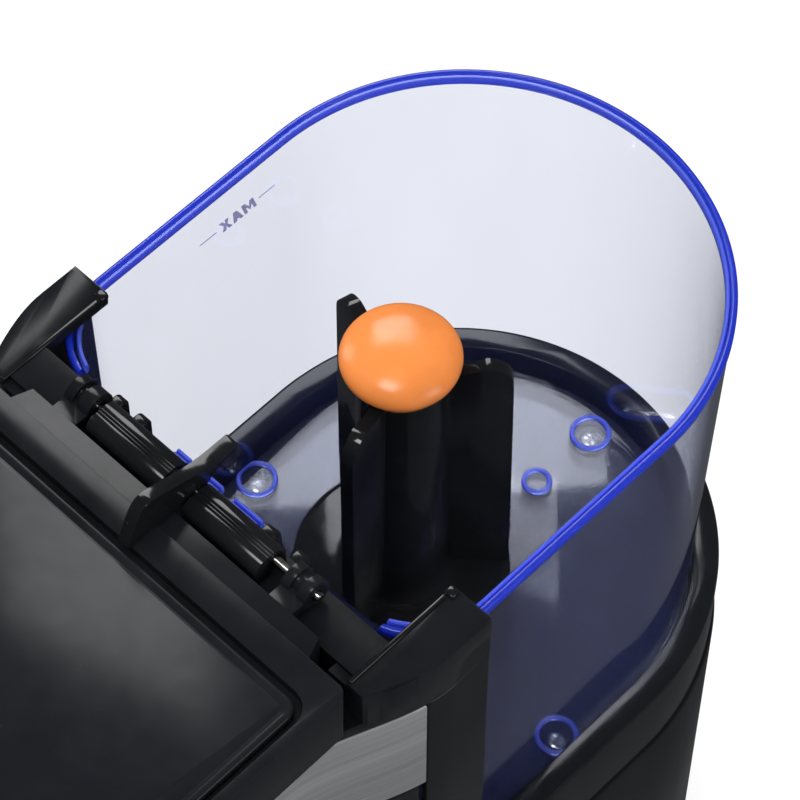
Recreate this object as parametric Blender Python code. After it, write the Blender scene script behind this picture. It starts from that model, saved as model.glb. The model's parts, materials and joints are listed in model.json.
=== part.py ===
"""Centrifugal juicer with a clear rear container and a powered leveller rotor.

Metres, +Z up.  Origin at the centre of the footprint on the worktop, +Y towards the rear.
Front: motor tower with juice bowl, filter basket, spout and hinged lid.
Rear: clear D-shaped container standing in the tray of the base.
"""
import math

import bmesh
import bpy
from mathutils import Matrix, Vector

for existing in list(bpy.data.objects):
    bpy.data.objects.remove(existing)

# ---------------------------------------------------------------- dimensions
GAP = 0.0003                  # clearance between neighbouring parts
WALL = 0.003                  # housing wall
CON_Y = 0.100                 # centre of the rear half-round of container and base
RIM_Z = 0.315                 # centre height of the container rim bead
RIM_HALF = 0.075              # centre line of the rim bead
CON_FRONT = 0.0030            # front wall of the container
CON_FLOOR = 0.1625            # underside of the container floor
BASE_HALF = 0.083             # base housing, half width and rear radius
RING_HALF = 0.082             # tray ring, half width and rear radius
RING_TOP = 0.1725             # ledge of the tray ring
SEAM_Z = 0.141                # joint between base housing and tray or tower
TOWER_TOP = 0.3015            # top edge of the tower housing
TOWER_HALF = 0.066            # half width of the tower behind its nose
REAR_HALF = 0.0804            # half width of the tower at its rear edge
FLARE_Y0, FLARE_Y1 = -0.040, 0.012
NOSE_Y = -0.100               # where the nose starts
NOSE_LEN = 0.050              # length of the nose
NOSE_POW = 2.6                # squareness of the nose
WING_Y = 0.025                # rear edge of the side wings and ears
BACK_Y = 0.0000               # rear face of the tower wall
EAR_TOP = 0.3215              # top of ears and crossbar
BAND_Z0, BAND_Z1 = 0.255, 0.3005
LID_HALF = 0.072
LID_TOP = 0.330
LID_LOW = 0.3075
LID_FRONT = -0.152
PANEL_HALF = 0.0665
PANEL_BACK = -0.0314
HINGE_Y, HINGE_Z = -0.0045, 0.327
PIN_R = 0.0015
DRIVE_Y = -0.075              # motor, basket and feed axis
ROTOR_Y = 0.0733              # leveller axis
DRUM_R = 0.0338
DRUM_TOP = 0.195
FIN_R = 0.033
FIN_TOP = 0.304
FIN_START = 46.0              # direction of the first of three fins, degrees from +X
CAP_R = 0.0176
CAP_Z = 0.308
SPOUT_TIP = -0.1845
GLAND_TIP = 0.1845
TRAY_IN = 0.0735              # inner half width of the tray ring
TRAY_FLOOR = 0.1585           # top of the tray floor
BOSS_TOP = 0.1615             # top of screw bosses and hub disc
BOSS_R = 0.0068
PLATE_Z0 = 0.0043             # underside of base housing and bottom plate
DECK_Z0, DECK_Z1 = 0.1840, 0.1880
SHAFT_BORE = 0.0043           # bore of everything that turns on the motor shaft
DOOR_X = 0.0280               # half width of the pulp duct
DOOR_Z0, DOOR_Z1 = 0.2988, 0.3093
SPOUT_HALF = 0.0125
PINION_SHIFT = 0.0345         # leveller axis to pinion axis
MOTOR_SHIFT = 0.0400          # leveller axis to gear motor axis
KNOB_FACE, KNOB_Z = -0.1558, 0.085
FRAME_LOW = 0.3030            # underside of crossbar and shoulders
FRAME_DECK = 0.3065           # top of the frame under the lid
EAR_LOW = 0.3178              # underside of the ear roofs
EAR_FRONT = -0.0155
GROOVE_Z = 0.3235             # ceiling of the hollow lid
BUTTON_HALF = 0.0122
CRANK = 9                     # segments along each ear edge


# ---------------------------------------------------------------- helpers
def material(name, colour, rough=0.5, metal=0.0, clear=0.0):
    """Principled material of one sub-part."""
    mat = bpy.data.materials.new(name)
    mat.use_nodes = True
    shader = mat.node_tree.nodes["Principled BSDF"]
    shader.inputs["Base Color"].default_value = (*colour, 1.0)
    shader.inputs["Roughness"].default_value = rough
    shader.inputs["Metallic"].default_value = metal
    shader.inputs["Transmission Weight"].default_value = clear
    shader.inputs["IOR"].default_value = 1.49
    mat.diffuse_color = (*colour, 1.0)
    return mat


GLOSS = ((0.012, 0.013, 0.015), 0.18)
SATIN = ((0.018, 0.020, 0.024), 0.42)
MATT = ((0.020, 0.021, 0.023), 0.60)
STEEL = ((0.55, 0.56, 0.57), 0.32, 1.0)
BRIGHT = ((0.75, 0.75, 0.75), 0.15, 1.0)
COPPER = ((0.70, 0.30, 0.12), 0.35, 1.0)
RUBBER = ((0.030, 0.030, 0.032), 0.85)
NYLON = ((0.75, 0.74, 0.70), 0.45)
ORANGE = ((0.80, 0.22, 0.03), 0.35)
CLEAR = ((0.62, 0.70, 0.92), 0.05, 0.0, 0.9)
SMOKE = ((0.30, 0.33, 0.38), 0.10, 0.0, 0.7)
BOARD = ((0.02, 0.14, 0.06), 0.45)


def finish(mesh_bm, name, look):
    """Turn a bmesh into a named object with its own material."""
    bmesh.ops.recalc_face_normals(mesh_bm, faces=mesh_bm.faces)
    mesh = bpy.data.meshes.new(name)
    mesh_bm.to_mesh(mesh)
    mesh_bm.free()
    obj = bpy.data.objects.new(name, mesh)
    bpy.context.scene.collection.objects.link(obj)
    obj.data.materials.append(material("mat_" + name, *look))
    return obj


def arc(cx, cy, radius, a0, a1, steps):
    """Points on a circle from angle a0 to a1 in degrees, both ends included."""
    out = []
    for i in range(steps + 1):
        a = math.radians(a0 + (a1 - a0) * i / steps)
        out.append((cx + radius * math.cos(a), cy + radius * math.sin(a)))
    return out


def stack(levels, name, look):
    """Closed solid through loops of 3-D points, one loop per level."""
    bm = bmesh.new()
    loops = [[bm.verts.new(p) for p in level] for level in levels]
    count = len(loops[0])
    for low, high in zip(loops, loops[1:]):
        for i in range(count):
            j = (i + 1) % count
            bm.faces.new((low[i], low[j], high[j], high[i]))
    bm.faces.new(loops[0][::-1])
    bm.faces.new(loops[-1])
    return finish(bm, name, look)


def flat(outline, z):
    """Lift a plan outline to height z."""
    return [(x, y, z) for x, y in outline]


def circle(cx, cy, radius, steps):
    """Closed circle in plan."""
    return arc(cx, cy, radius, 0.0, 360.0, steps)[:-1]


def prism(outline, z0, z1, name, look, bevel=0.0):
    """Straight prism over a plan outline, with an optional chamfer at its top edge."""
    if bevel:
        inner = inset(outline, bevel)
        levels = [flat(outline, z0), flat(outline, z1 - bevel), flat(inner, z1)]
    else:
        levels = [flat(outline, z0), flat(outline, z1)]
    return stack(levels, name, look)


def inset(outline, amount):
    """Move every point of a counter-clockwise outline inwards along its mitred normal."""
    out = []
    count = len(outline)
    for i in range(count):
        a = Vector(outline[i - 1])
        b = Vector(outline[i])
        c = Vector(outline[(i + 1) % count])
        d0 = (b - a).normalized()
        d1 = (c - b).normalized()
        n0 = Vector((-d0.y, d0.x))
        n1 = Vector((-d1.y, d1.x))
        mid = (n0 + n1).normalized()
        grow = amount / max(0.4, mid.dot(n0))
        out.append((b.x + mid.x * grow, b.y + mid.y * grow))
    return out


def side_prism(profile, x0, x1, name, look):
    """Prism along X over a profile of (y, z) points."""
    return stack([[(x0, y, z) for y, z in profile], [(x1, y, z) for y, z in profile]], name, look)


def tube(levels, name, look):
    """Ring solid.  Each level is (outer loop, inner loop) of 3-D points, same counts."""
    bm = bmesh.new()
    rings = []
    for outer, inner in levels:
        rings.append(([bm.verts.new(p) for p in outer], [bm.verts.new(p) for p in inner]))
    count = len(levels[0][0])
    for (o0, i0), (o1, i1) in zip(rings, rings[1:]):
        for i in range(count):
            j = (i + 1) % count
            bm.faces.new((o0[i], o0[j], o1[j], o1[i]))
            bm.faces.new((i0[j], i0[i], i1[i], i1[j]))
    for (o, n), up in ((rings[0], False), (rings[-1], True)):
        for i in range(count):
            j = (i + 1) % count
            quad = (o[i], o[j], n[j], n[i])
            bm.faces.new(quad if up else quad[::-1])
    return finish(bm, name, look)


def lathe(profile, cy, name, look, steps=64, cx=0.0):
    """Closed solid of revolution about the vertical through (cx, cy).

    profile: closed loop of (radius, z); points with radius 0 lie on the axis.
    """
    bm = bmesh.new()
    rings = []
    for radius, z in profile:
        if radius < 1e-7:
            rings.append([bm.verts.new((cx, cy, z))] * steps)
            continue
        ring = []
        for i in range(steps):
            a = math.tau * i / steps
            ring.append(bm.verts.new((cx + radius * math.cos(a), cy + radius * math.sin(a), z)))
        rings.append(ring)
    count = len(rings)
    for k in range(count):
        a_ring = rings[k]
        b_ring = rings[(k + 1) % count]
        on_axis = a_ring[0] is a_ring[1] and b_ring[0] is b_ring[1]
        if on_axis:
            continue
        for i in range(steps):
            j = (i + 1) % steps
            face = []
            for v in (a_ring[i], a_ring[j], b_ring[j], b_ring[i]):
                if v not in face:
                    face.append(v)
            bm.faces.new(face)
    return finish(bm, name, look)


def turn(obj, axis, degrees, pivot):
    """Rotate the mesh of an object about an axis through a pivot."""
    move = Matrix.Translation(Vector(pivot))
    obj.data.transform(move @ Matrix.Rotation(math.radians(degrees), 4, axis) @ move.inverted())
    return obj


def box(x0, x1, y0, y1, z0, z1, name="tool", look=MATT):
    """Plain block."""
    return prism([(x0, y0), (x1, y0), (x1, y1), (x0, y1)], z0, z1, name, look)


def rod(cx, cy, cz, radius, length, axis, name="tool", look=MATT, steps=32):
    """Cylinder starting at (cx, cy, cz) and running along +axis."""
    obj = prism(circle(0.0, 0.0, radius, steps), 0.0, length, name, look)
    if axis == "X":
        obj.data.transform(Matrix.Rotation(math.pi / 2, 4, "Y"))
    if axis == "Y":
        obj.data.transform(Matrix.Rotation(-math.pi / 2, 4, "X"))
    obj.data.transform(Matrix.Translation((cx, cy, cz)))
    return obj


def combine(obj, tools, operation):
    """Apply EXACT booleans with throw-away tools."""
    for tool in tools:
        mod = obj.modifiers.new("cut", "BOOLEAN")
        mod.operation = operation
        mod.solver = "EXACT"
        mod.object = tool
    bpy.context.view_layer.update()
    graph = bpy.context.evaluated_depsgraph_get()
    mesh = bpy.data.meshes.new_from_object(obj.evaluated_get(graph))
    obj.modifiers.clear()
    mesh.name = obj.name
    obj.data = mesh
    keep = obj.data.materials[0]
    obj.data.materials.clear()
    obj.data.materials.append(keep)
    for poly in mesh.polygons:
        poly.material_index = 0
    for tool in tools:
        bpy.data.objects.remove(tool)
    return obj


def cut(obj, *tools):
    """Take the tools away from the object."""
    return combine(obj, tools, "DIFFERENCE")


def add(obj, *tools):
    """Weld the tools to the object."""
    return combine(obj, tools, "UNION")


def pivot(obj, x, y, z):
    """Put the object origin on its joint axis."""
    obj.data.transform(Matrix.Translation((-x, -y, -z)))
    obj.location = (x, y, z)
    return obj


def smooth_step(t):
    """Blend 0..1 with flat ends."""
    t = min(1.0, max(0.0, t))
    return t * t * (3.0 - 2.0 * t)


def body_half(y, grow=0.0):
    """Half width of tower and base at y, ahead of the rear half-round."""
    if y < NOSE_Y:
        run = min(1.0, (NOSE_Y - y) / (NOSE_LEN + grow))
        return (TOWER_HALF + grow) * (1.0 - run ** NOSE_POW) ** (1.0 / NOSE_POW)
    blend = smooth_step((y - FLARE_Y0) / (FLARE_Y1 - FLARE_Y0))
    return TOWER_HALF + (REAR_HALF - TOWER_HALF) * blend + grow


def front_side(y_rear, grow, steps=10, nose=12):
    """Right-hand edge of the tower from y_rear to just before the nose tip, front last."""
    side = []
    for i in range(steps + 1):
        y = y_rear + (NOSE_Y - y_rear) * i / steps
        side.append((body_half(y, grow), y))
    for i in range(1, nose):
        a = math.radians(90.0 * i / nose)
        x = (TOWER_HALF + grow) * math.cos(a) ** (2.0 / NOSE_POW)
        y = NOSE_Y - (NOSE_LEN + grow) * math.sin(a) ** (2.0 / NOSE_POW)
        side.append((x, y))
    return side


def tower_outline(y_rear, grow):
    """Counter-clockwise plan of the tower with a straight rear edge."""
    side = front_side(y_rear, grow)
    tip = [(0.0, NOSE_Y - NOSE_LEN - grow)]
    left = [(-x, y) for x, y in side]
    return left + tip + side[::-1]


def base_outline(grow):
    """Counter-clockwise plan of the base: tower front and half-round rear."""
    half = BASE_HALF + grow
    side = front_side(CON_Y - 0.030, grow + BASE_HALF - REAR_HALF)
    tip = [(0.0, NOSE_Y - NOSE_LEN - grow - BASE_HALF + REAR_HALF)]
    left = [(-x, y) for x, y in side]
    rear = arc(0.0, CON_Y, half, 0.0, 180.0, 36)
    return left + tip + side[::-1] + rear


def d_outline(half, y_front, corner, back=40, bend=6):
    """Counter-clockwise D: straight front, rounded front corners, half-round rear."""
    out = arc(-half + corner, y_front + corner, corner, 180.0, 270.0, bend)
    out += arc(half - corner, y_front + corner, corner, 270.0, 360.0, bend)
    out += arc(0.0, CON_Y, half, 0.0, 180.0, back)
    return out


def round_rect(half, y0, y1, r_front, r_back, steps=7):
    """Counter-clockwise rounded rectangle, symmetric in X."""
    out = arc(-half + r_front, y0 + r_front, r_front, 180.0, 270.0, steps)
    out += arc(half - r_front, y0 + r_front, r_front, 270.0, 360.0, steps)
    out += arc(half - r_back, y1 - r_back, r_back, 0.0, 90.0, steps)
    out += arc(-half + r_back, y1 - r_back, r_back, 90.0, 180.0, steps)
    return out


def ring_levels(rows):
    """(outer outline, inner outline, z) rows to tube levels."""
    return [(flat(outer, z), flat(inner, z)) for outer, inner, z in rows]


def edge_run(side, y0, y1, steps, inwards=0.0):
    """Points along one side edge of the body, moved inwards."""
    out = []
    for i in range(steps):
        y = y0 + (y1 - y0) * i / (steps - 1)
        out.append((side * (body_half(y) - inwards), y))
    return out


# ---------------------------------------------------------------- base
FOOT_SPOTS = (("front_left", -0.042, -0.110), ("front_right", 0.042, -0.110),
              ("rear_left", -0.052, 0.130), ("rear_right", 0.052, 0.130))
for label, fx, fy in FOOT_SPOTS:
    lathe([(0.0, 0.0), (0.0085, 0.0), (0.0098, 0.0012), (0.0098, 0.0040), (0.0, 0.0040)],
          fy, "foot_" + label, RUBBER, 24, fx)

plate = prism(base_outline(-WALL - GAP), PLATE_Z0, 0.0075, "bottom_plate", MATT)
slots = []
for i in range(12):
    slot = box(0.016, 0.030, DRIVE_Y - 0.0022, DRIVE_Y + 0.0022, 0.0, 0.012)
    slots.append(turn(slot, "Z", 360.0 * i / 12, (0.0, DRIVE_Y, 0.0)))
cut(plate, *slots)

base_rows = []
for z, grow in ((PLATE_Z0, -0.0010), (0.0060, 0.0), (SEAM_Z - 0.0012, 0.0), (SEAM_Z - GAP, -0.0008)):
    base_rows.append((base_outline(grow), base_outline(-WALL), z))
shell = tube(ring_levels(base_rows), "base_housing", GLOSS)
cut(shell,
    rod(0.0, -0.160, KNOB_Z, 0.0125, 0.020, "Y"),
    rod(0.0, 0.170, 0.032, 0.0062, 0.030, "Y"))

gland = lathe([(0.0034, 0.0), (0.0058, 0.0), (0.0058, 0.0074), (0.0086, 0.0074),
               (0.0086, 0.0079), (0.0078, GLAND_TIP - 0.1760), (0.0034, GLAND_TIP - 0.1760)],
              0.0, "cord_gland", RUBBER, 24)
gland.data.transform(Matrix.Translation((0.0, 0.1760, 0.032)) @ Matrix.Rotation(-math.pi / 2, 4, "X"))

# ---------------------------------------------------------------- container tray
ring_front = WING_Y + 0.0025
u_loop = [(RING_HALF, ring_front)] + arc(0.0, CON_Y, RING_HALF, 0.0, 180.0, 40)
u_loop += [(-RING_HALF, ring_front), (-TRAY_IN, ring_front)]
u_loop += arc(0.0, CON_Y, TRAY_IN, 180.0, 0.0, 40) + [(TRAY_IN, ring_front)]
tray = prism(u_loop, SEAM_Z, RING_TOP, "container_tray", GLOSS, 0.0012)
bosses = []
SCREW_SPOTS = (("left", -0.065, 0.0737), ("right", 0.065, 0.0737), ("rear", 0.0, 0.1615))
for label, sx, sy in SCREW_SPOTS:
    bosses.append(prism(circle(sx, sy, BOSS_R, 24), 0.1570, BOSS_TOP, "tool", MATT))
floor = prism(d_outline(0.0745, 0.0015, 0.020), 0.1545, TRAY_FLOOR, "tool", MATT)
hub = prism(circle(0.0, ROTOR_Y, 0.046, 48), 0.1500, BOSS_TOP, "tool", MATT)
dot = prism(circle(0.0, 0.136, 0.0050, 24), 0.1570, 0.1610, "tool", MATT)
add(tray, floor, hub, dot, *bosses)
pockets = [rod(0.0, ROTOR_Y, 0.1400, 0.0078, 0.030, "Z")]
for label, sx, sy in SCREW_SPOTS:
    pockets.append(rod(sx, sy, 0.1590, 0.0034, 0.004, "Z", steps=16))
    pockets.append(rod(sx, sy, 0.1500, 0.0019, 0.012, "Z", steps=12))
cut(tray, *pockets)

SCREW_PROFILE = [(0.0, 0.1450), (0.0012, 0.1450), (0.0016, 0.1462), (0.0016, 0.1593), (0.0030, 0.1593),
                 (0.0030, 0.1604), (0.0022, 0.1611), (0.0, 0.1612)]
for label, sx, sy in SCREW_SPOTS:
    screw = lathe(SCREW_PROFILE, sy, "tray_screw_" + label, BRIGHT, 16, sx)
    cross = [box(sx - 0.0018, sx + 0.0018, sy - 0.0003, sy + 0.0003, 0.1604, 0.1620),
             box(sx - 0.0003, sx + 0.0003, sy - 0.0018, sy + 0.0018, 0.1604, 0.1620)]
    cut(screw, *cross)

lathe([(0.0044, 0.1480), (0.0110, 0.1480), (0.0110, 0.1497), (0.0074, 0.1497), (0.0074, 0.1612),
       (0.0044, 0.1612)], ROTOR_Y, "spindle_bushing", NYLON, 24)

# ---------------------------------------------------------------- tower housing
tower_inner = tower_outline(BACK_Y - WALL, -WALL)
tower_rows = []
for z, grow in ((SEAM_Z, 0.0), (BAND_Z0 - 0.0004, 0.0), (BAND_Z0 - 0.0003, -0.0014), (TOWER_TOP, -0.0014)):
    tower_rows.append((tower_outline(BACK_Y, grow), tower_inner, z))
tower = tube(ring_levels(tower_rows), "tower_housing", GLOSS)
deck = prism(tower_outline(BACK_Y - 0.0015, -0.0020), DECK_Z0, DECK_Z1, "tool", MATT)
wings = []
wing_front = 0.0028
for s in (-1.0, 1.0):
    loop = edge_run(s, wing_front, WING_Y, CRANK)
    loop += edge_run(s, WING_Y, BACK_Y - 0.002, CRANK, 0.0028)
    for y in (BACK_Y - 0.002, BACK_Y + 0.0004, wing_front):
        loop.append((s * (body_half(y) - 0.0016), y))
    if s < 0:
        loop = loop[::-1]
    wings.append(prism(loop, SEAM_Z + 0.0005, TOWER_TOP, "tool", MATT))
add(tower, deck, *wings)
cut(tower,
    rod(0.0, DRIVE_Y, 0.170, 0.0112, 0.030, "Z"),
    box(-0.0155, 0.0155, -0.170, -0.140, 0.2055, 0.2395),
    box(-0.0305, 0.0305, -0.010, 0.010, 0.2945, 0.3100))

BAND_REAR = 0.0022
band_side = [BAND_REAR + (NOSE_Y - BAND_REAR) * i / 10 for i in range(11)]


def band_edge(grow):
    """Edge of the steel band in plan, right rear to left rear."""
    right = [(body_half(y, grow), y) for y in band_side]
    for i in range(1, 12):
        a = math.radians(90.0 * i / 12)
        right.append(((TOWER_HALF + grow) * math.cos(a) ** (2.0 / NOSE_POW),
                      NOSE_Y - (NOSE_LEN + grow) * math.sin(a) ** (2.0 / NOSE_POW)))
    left = [(-x, y) for x, y in right[::-1]]
    return right + [(0.0, NOSE_Y - NOSE_LEN - grow)] + left


strip = band_edge(0.0) + band_edge(-0.0011)[::-1]
prism(strip[::-1], BAND_Z0, BAND_Z1, "steel_band", STEEL)

# ---------------------------------------------------------------- drive
lathe([(0.0, 0.0210), (0.0034, 0.0210), (0.0040, 0.0220), (0.0040, 0.2220), (0.0030, 0.2235), (0.0, 0.2235)],
      DRIVE_Y, "motor_shaft", BRIGHT, 20)
lathe([(SHAFT_BORE, 0.0240), (0.0100, 0.0240), (0.0100, 0.0300), (SHAFT_BORE, 0.0300)],
      DRIVE_Y, "lower_bearing", BRIGHT, 24)
lathe([(SHAFT_BORE, 0.1775), (0.0105, 0.1775), (0.0105, 0.1835), (SHAFT_BORE, 0.1835)],
      DRIVE_Y, "upper_bearing", BRIGHT, 24)
lathe([(SHAFT_BORE, 0.1850), (0.0108, 0.1850), (0.0108, 0.1883), (0.0130, 0.1883), (0.0130, 0.1905),
       (SHAFT_BORE, 0.1925)], DRIVE_Y, "shaft_seal", RUBBER, 24)

cradle = lathe([(0.0104, 0.0230), (0.0104, 0.0300), (0.0340, 0.0300), (0.0340, 0.0225), (0.0085, 0.0225),
                (0.0085, 0.0230)], DRIVE_Y, "motor_cradle", MATT, 28)
posts = []
for i in range(4):
    heading = 45.0 + 90.0 * i
    post = rod(0.0270, DRIVE_Y, 0.0078, 0.0040, 0.0160, "Z", steps=12)
    posts.append(turn(post, "Z", heading, (0.0, DRIVE_Y, 0.0)))
    ell = [(0.0320, 0.0255), (0.0445, 0.0255), (0.0445, 0.1200), (0.0405, 0.1200), (0.0405, 0.0285),
           (0.0320, 0.0285)]
    side = stack([[(r, DRIVE_Y - 0.0040, z) for r, z in ell], [(r, DRIVE_Y + 0.0040, z) for r, z in ell]],
                 "tool", MATT)
    posts.append(turn(side, "Z", heading, (0.0, DRIVE_Y, 0.0)))
add(cradle, *posts)

lathe([(0.0235, 0.0600), (0.0400, 0.0600), (0.0400, 0.0950), (0.0235, 0.0950)],
      DRIVE_Y, "motor_stator", STEEL, 36)
lathe([(0.0260, 0.0500), (0.0360, 0.0500), (0.0375, 0.0520), (0.0375, 0.0597), (0.0250, 0.0597),
       (0.0250, 0.0520)], DRIVE_Y, "motor_coils_lower", COPPER, 28)
lathe([(0.0250, 0.0953), (0.0375, 0.0953), (0.0375, 0.1030), (0.0360, 0.1050), (0.0260, 0.1050),
       (0.0250, 0.1030)], DRIVE_Y, "motor_coils_upper", COPPER, 28)
lathe([(SHAFT_BORE, 0.0560), (0.0150, 0.0560), (0.0150, 0.0610), (0.0228, 0.0610), (0.0228, 0.0940),
       (0.0150, 0.0940), (0.0150, 0.0990), (SHAFT_BORE, 0.0990)], DRIVE_Y, "motor_armature", COPPER, 24)
lathe([(SHAFT_BORE, 0.0380), (0.0105, 0.0380), (0.0105, 0.0520), (SHAFT_BORE, 0.0520)],
      DRIVE_Y, "motor_commutator", COPPER, 20)
fan = lathe([(SHAFT_BORE, 0.1120), (0.0330, 0.1120), (0.0330, 0.1136), (0.0085, 0.1136), (0.0085, 0.1240),
             (SHAFT_BORE, 0.1240)], DRIVE_Y, "cooling_fan", NYLON, 28)
blades = []
for i in range(9):
    blade = box(0.0080, 0.0325, DRIVE_Y - 0.0007, DRIVE_Y + 0.0007, 0.1130, 0.1225)
    turn(blade, "Z", 20.0, (0.0080, DRIVE_Y, 0.0))
    blades.append(turn(blade, "Z", 40.0 * i, (0.0, DRIVE_Y, 0.0)))
add(fan, *blades)

coupling = lathe([(SHAFT_BORE, 0.1945), (0.0095, 0.1945), (0.0095, 0.2045), (0.0070, 0.2055),
                  (0.0070, 0.2180), (SHAFT_BORE, 0.2180)], DRIVE_Y, "drive_coupling", NYLON, 24)
dogs = []
for i in range(6):
    dogs.append(turn(box(0.0060, 0.0085, DRIVE_Y - 0.0009, DRIVE_Y + 0.0009, 0.2060, 0.2170), "Z",
                     60.0 * i, (0.0, DRIVE_Y, 0.0)))
add(coupling, *dogs)

# ---------------------------------------------------------------- juice side
bowl = lathe([(0.0120, 0.1965), (0.0440, 0.1925), (0.0545, 0.1985), (0.0565, 0.2060), (0.0575, 0.2930),
              (0.0590, 0.2945), (0.0590, 0.2965), (0.0555, 0.2965), (0.0550, 0.2080), (0.0530, 0.2010),
              (0.0440, 0.1950), (0.0145, 0.1990), (0.0145, 0.2080), (0.0120, 0.2080)],
             DRIVE_Y, "juice_bowl", SMOKE, 40)
cut(bowl, box(-0.0100, 0.0100, -0.1400, -0.1150, 0.2100, 0.2290))

spout = side_prism([(SPOUT_TIP, 0.1950), (SPOUT_TIP + 0.0060, 0.1940), (-0.1560, 0.2075),
                    (-0.1330, 0.2075), (-0.1330, 0.2320), (-0.1560, 0.2320), (-0.1720, 0.2320),
                    (SPOUT_TIP, 0.2230)], -SPOUT_HALF, SPOUT_HALF, "juice_spout", SMOKE)
bore = side_prism([(SPOUT_TIP + 0.0022, 0.1900), (SPOUT_TIP + 0.0045, 0.1900), (-0.1555, 0.2095),
                   (-0.1300, 0.2095), (-0.1300, 0.2300), (-0.1560, 0.2300), (-0.1715, 0.2300),
                   (SPOUT_TIP + 0.0022, 0.2215)],
                  -SPOUT_HALF + 0.0020, SPOUT_HALF - 0.0020, "tool", MATT)
flange = box(-0.0175, 0.0175, -0.1528, -0.1512, 0.2035, 0.2415)
cut(flange, box(-0.0110, 0.0110, -0.160, -0.140, 0.2095, 0.2300))
cut(spout, bore)
add(spout, flange)
cut(spout, rod(0.0, DRIVE_Y, 0.150, 0.0585, 0.150, "Z", steps=40))

basket = lathe([(0.0088, 0.2065), (0.0115, 0.2065), (0.0115, 0.2298), (0.0330, 0.2298), (0.0500, 0.2800),
                (0.0530, 0.2805), (0.0530, 0.2825), (0.0490, 0.2825), (0.0318, 0.2322), (0.0088, 0.2322)],
               DRIVE_Y, "filter_basket", STEEL, 48)
sieve = []
for row in range(2):
    for i in range(16):
        z = 0.2380 + 0.020 * row
        tool = box(0.030, 0.056, DRIVE_Y - 0.0007, DRIVE_Y + 0.0007, z, z + 0.0150)
        sieve.append(turn(tool, "Z", 22.5 * i + 11.25 * row, (0.0, DRIVE_Y, 0.0)))
cut(basket, *sieve)

disc = lathe([(0.0045, 0.2329), (0.0300, 0.2329), (0.0300, 0.2341), (0.0045, 0.2341)],
             DRIVE_Y, "grating_disc", BRIGHT, 32)
teeth = []
for ring in range(3):
    count = 6 + 3 * ring
    for i in range(count):
        tooth = prism(circle(0.0130 + 0.0060 * ring, DRIVE_Y, 0.0011, 3), 0.2336, 0.2360, "tool", BRIGHT)
        teeth.append(turn(tooth, "Z", 360.0 * i / count + 11.5 * ring, (0.0, DRIVE_Y, 0.0)))
add(disc, *teeth)

lathe([(0.0, 0.2245), (0.0080, 0.2245), (0.0080, 0.2318), (0.0041, 0.2318), (0.0041, 0.2345),
       (0.0088, 0.2345), (0.0088, 0.2385), (0.0065, 0.2425), (0.0, 0.2435)],
      DRIVE_Y, "disc_clamp", NYLON, 24)

# ---------------------------------------------------------------- top frame (ears and crossbar)
top = prism(tower_outline(-0.0040, 0.0), TOWER_TOP + GAP, FRAME_DECK, "top_frame", SATIN)
parts = [box(-0.0700, 0.0700, -0.0125, 0.0008, FRAME_LOW, EAR_TOP)]
for s in (-1.0, 1.0):
    roof = [(s * PANEL_HALF, EAR_FRONT), (s * PANEL_HALF, WING_Y - 0.0008), (s * 0.0673, WING_Y)]
    roof += edge_run(s, WING_Y, EAR_FRONT, CRANK)
    skirt = edge_run(s, WING_Y, EAR_FRONT, CRANK) + edge_run(s, EAR_FRONT, WING_Y, CRANK, 0.0024)
    shoulder = [(s * 0.0600, EAR_FRONT), (s * 0.0715, EAR_FRONT), (s * 0.0760, -0.0085),
                (s * 0.0785, -0.0005), (s * 0.0600, -0.0005)]
    if s > 0:
        roof, skirt = roof[::-1], skirt[::-1]
    else:
        shoulder = shoulder[::-1]
    parts.append(prism(roof, EAR_LOW, EAR_TOP, "tool", SATIN, 0.0008))
    parts.append(prism(skirt, TOWER_TOP + GAP, 0.3190, "tool", SATIN))
    parts.append(prism(shoulder, FRAME_LOW, 0.3200, "tool", SATIN))
add(top, *parts)
cut(top,
    rod(0.0, DRIVE_Y, 0.290, 0.0595, 0.040, "Z", steps=40),
    box(-0.0303, 0.0303, -0.030, 0.010, 0.295, 0.3112))

BARREL_R, BARREL_BORE = 0.0040, 0.0019
BARREL_FRONT = -0.0080        # centre of the rounded front edge of the barrels
barrel_low = EAR_TOP + 0.0002
for label, x0, x1 in (("left", -0.0360, -0.0080), ("right", 0.0014, 0.0296)):
    prof = [(HINGE_Y + BARREL_R, barrel_low)] + arc(HINGE_Y, HINGE_Z, BARREL_R, 0, 90, 8)
    prof += arc(BARREL_FRONT, HINGE_Z, BARREL_R, 90, 180, 8)
    prof += [(BARREL_FRONT - BARREL_R, barrel_low), (HINGE_Y - BARREL_BORE, barrel_low)]
    prof += arc(HINGE_Y, HINGE_Z, BARREL_BORE, 180, 0, 8)
    prof += [(HINGE_Y + BARREL_BORE, barrel_low)]
    side_prism(prof, x0, x1, "hinge_barrel_" + label, GLOSS)

rod(-0.0480, HINGE_Y, HINGE_Z, PIN_R, 0.0945, "X", "hinge_pin", BRIGHT, 20)

cover = lathe([(0.0245, 0.3105), (0.0530, 0.3085), (0.0560, 0.3070), (0.0560, 0.2970), (0.0582, 0.2970),
               (0.0582, 0.3078), (0.0545, 0.3102), (0.0245, 0.3122), (0.0245, 0.3225), (0.0220, 0.3225),
               (0.0220, 0.2860), (0.0245, 0.2860)], DRIVE_Y, "bowl_cover", SMOKE, 40)
duct = box(-0.0298, 0.0298, -0.0320, -0.0003, 0.2972, 0.3108)
cut(duct,
    box(-DOOR_X, DOOR_X, -0.040, 0.005, DOOR_Z0, DOOR_Z1),
    rod(0.0, DRIVE_Y, 0.280, 0.0570, 0.040, "Z", steps=40))
cut(cover, box(-DOOR_X, DOOR_X, -0.040, 0.005, DOOR_Z0, DOOR_Z1))
add(cover, duct)

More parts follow.
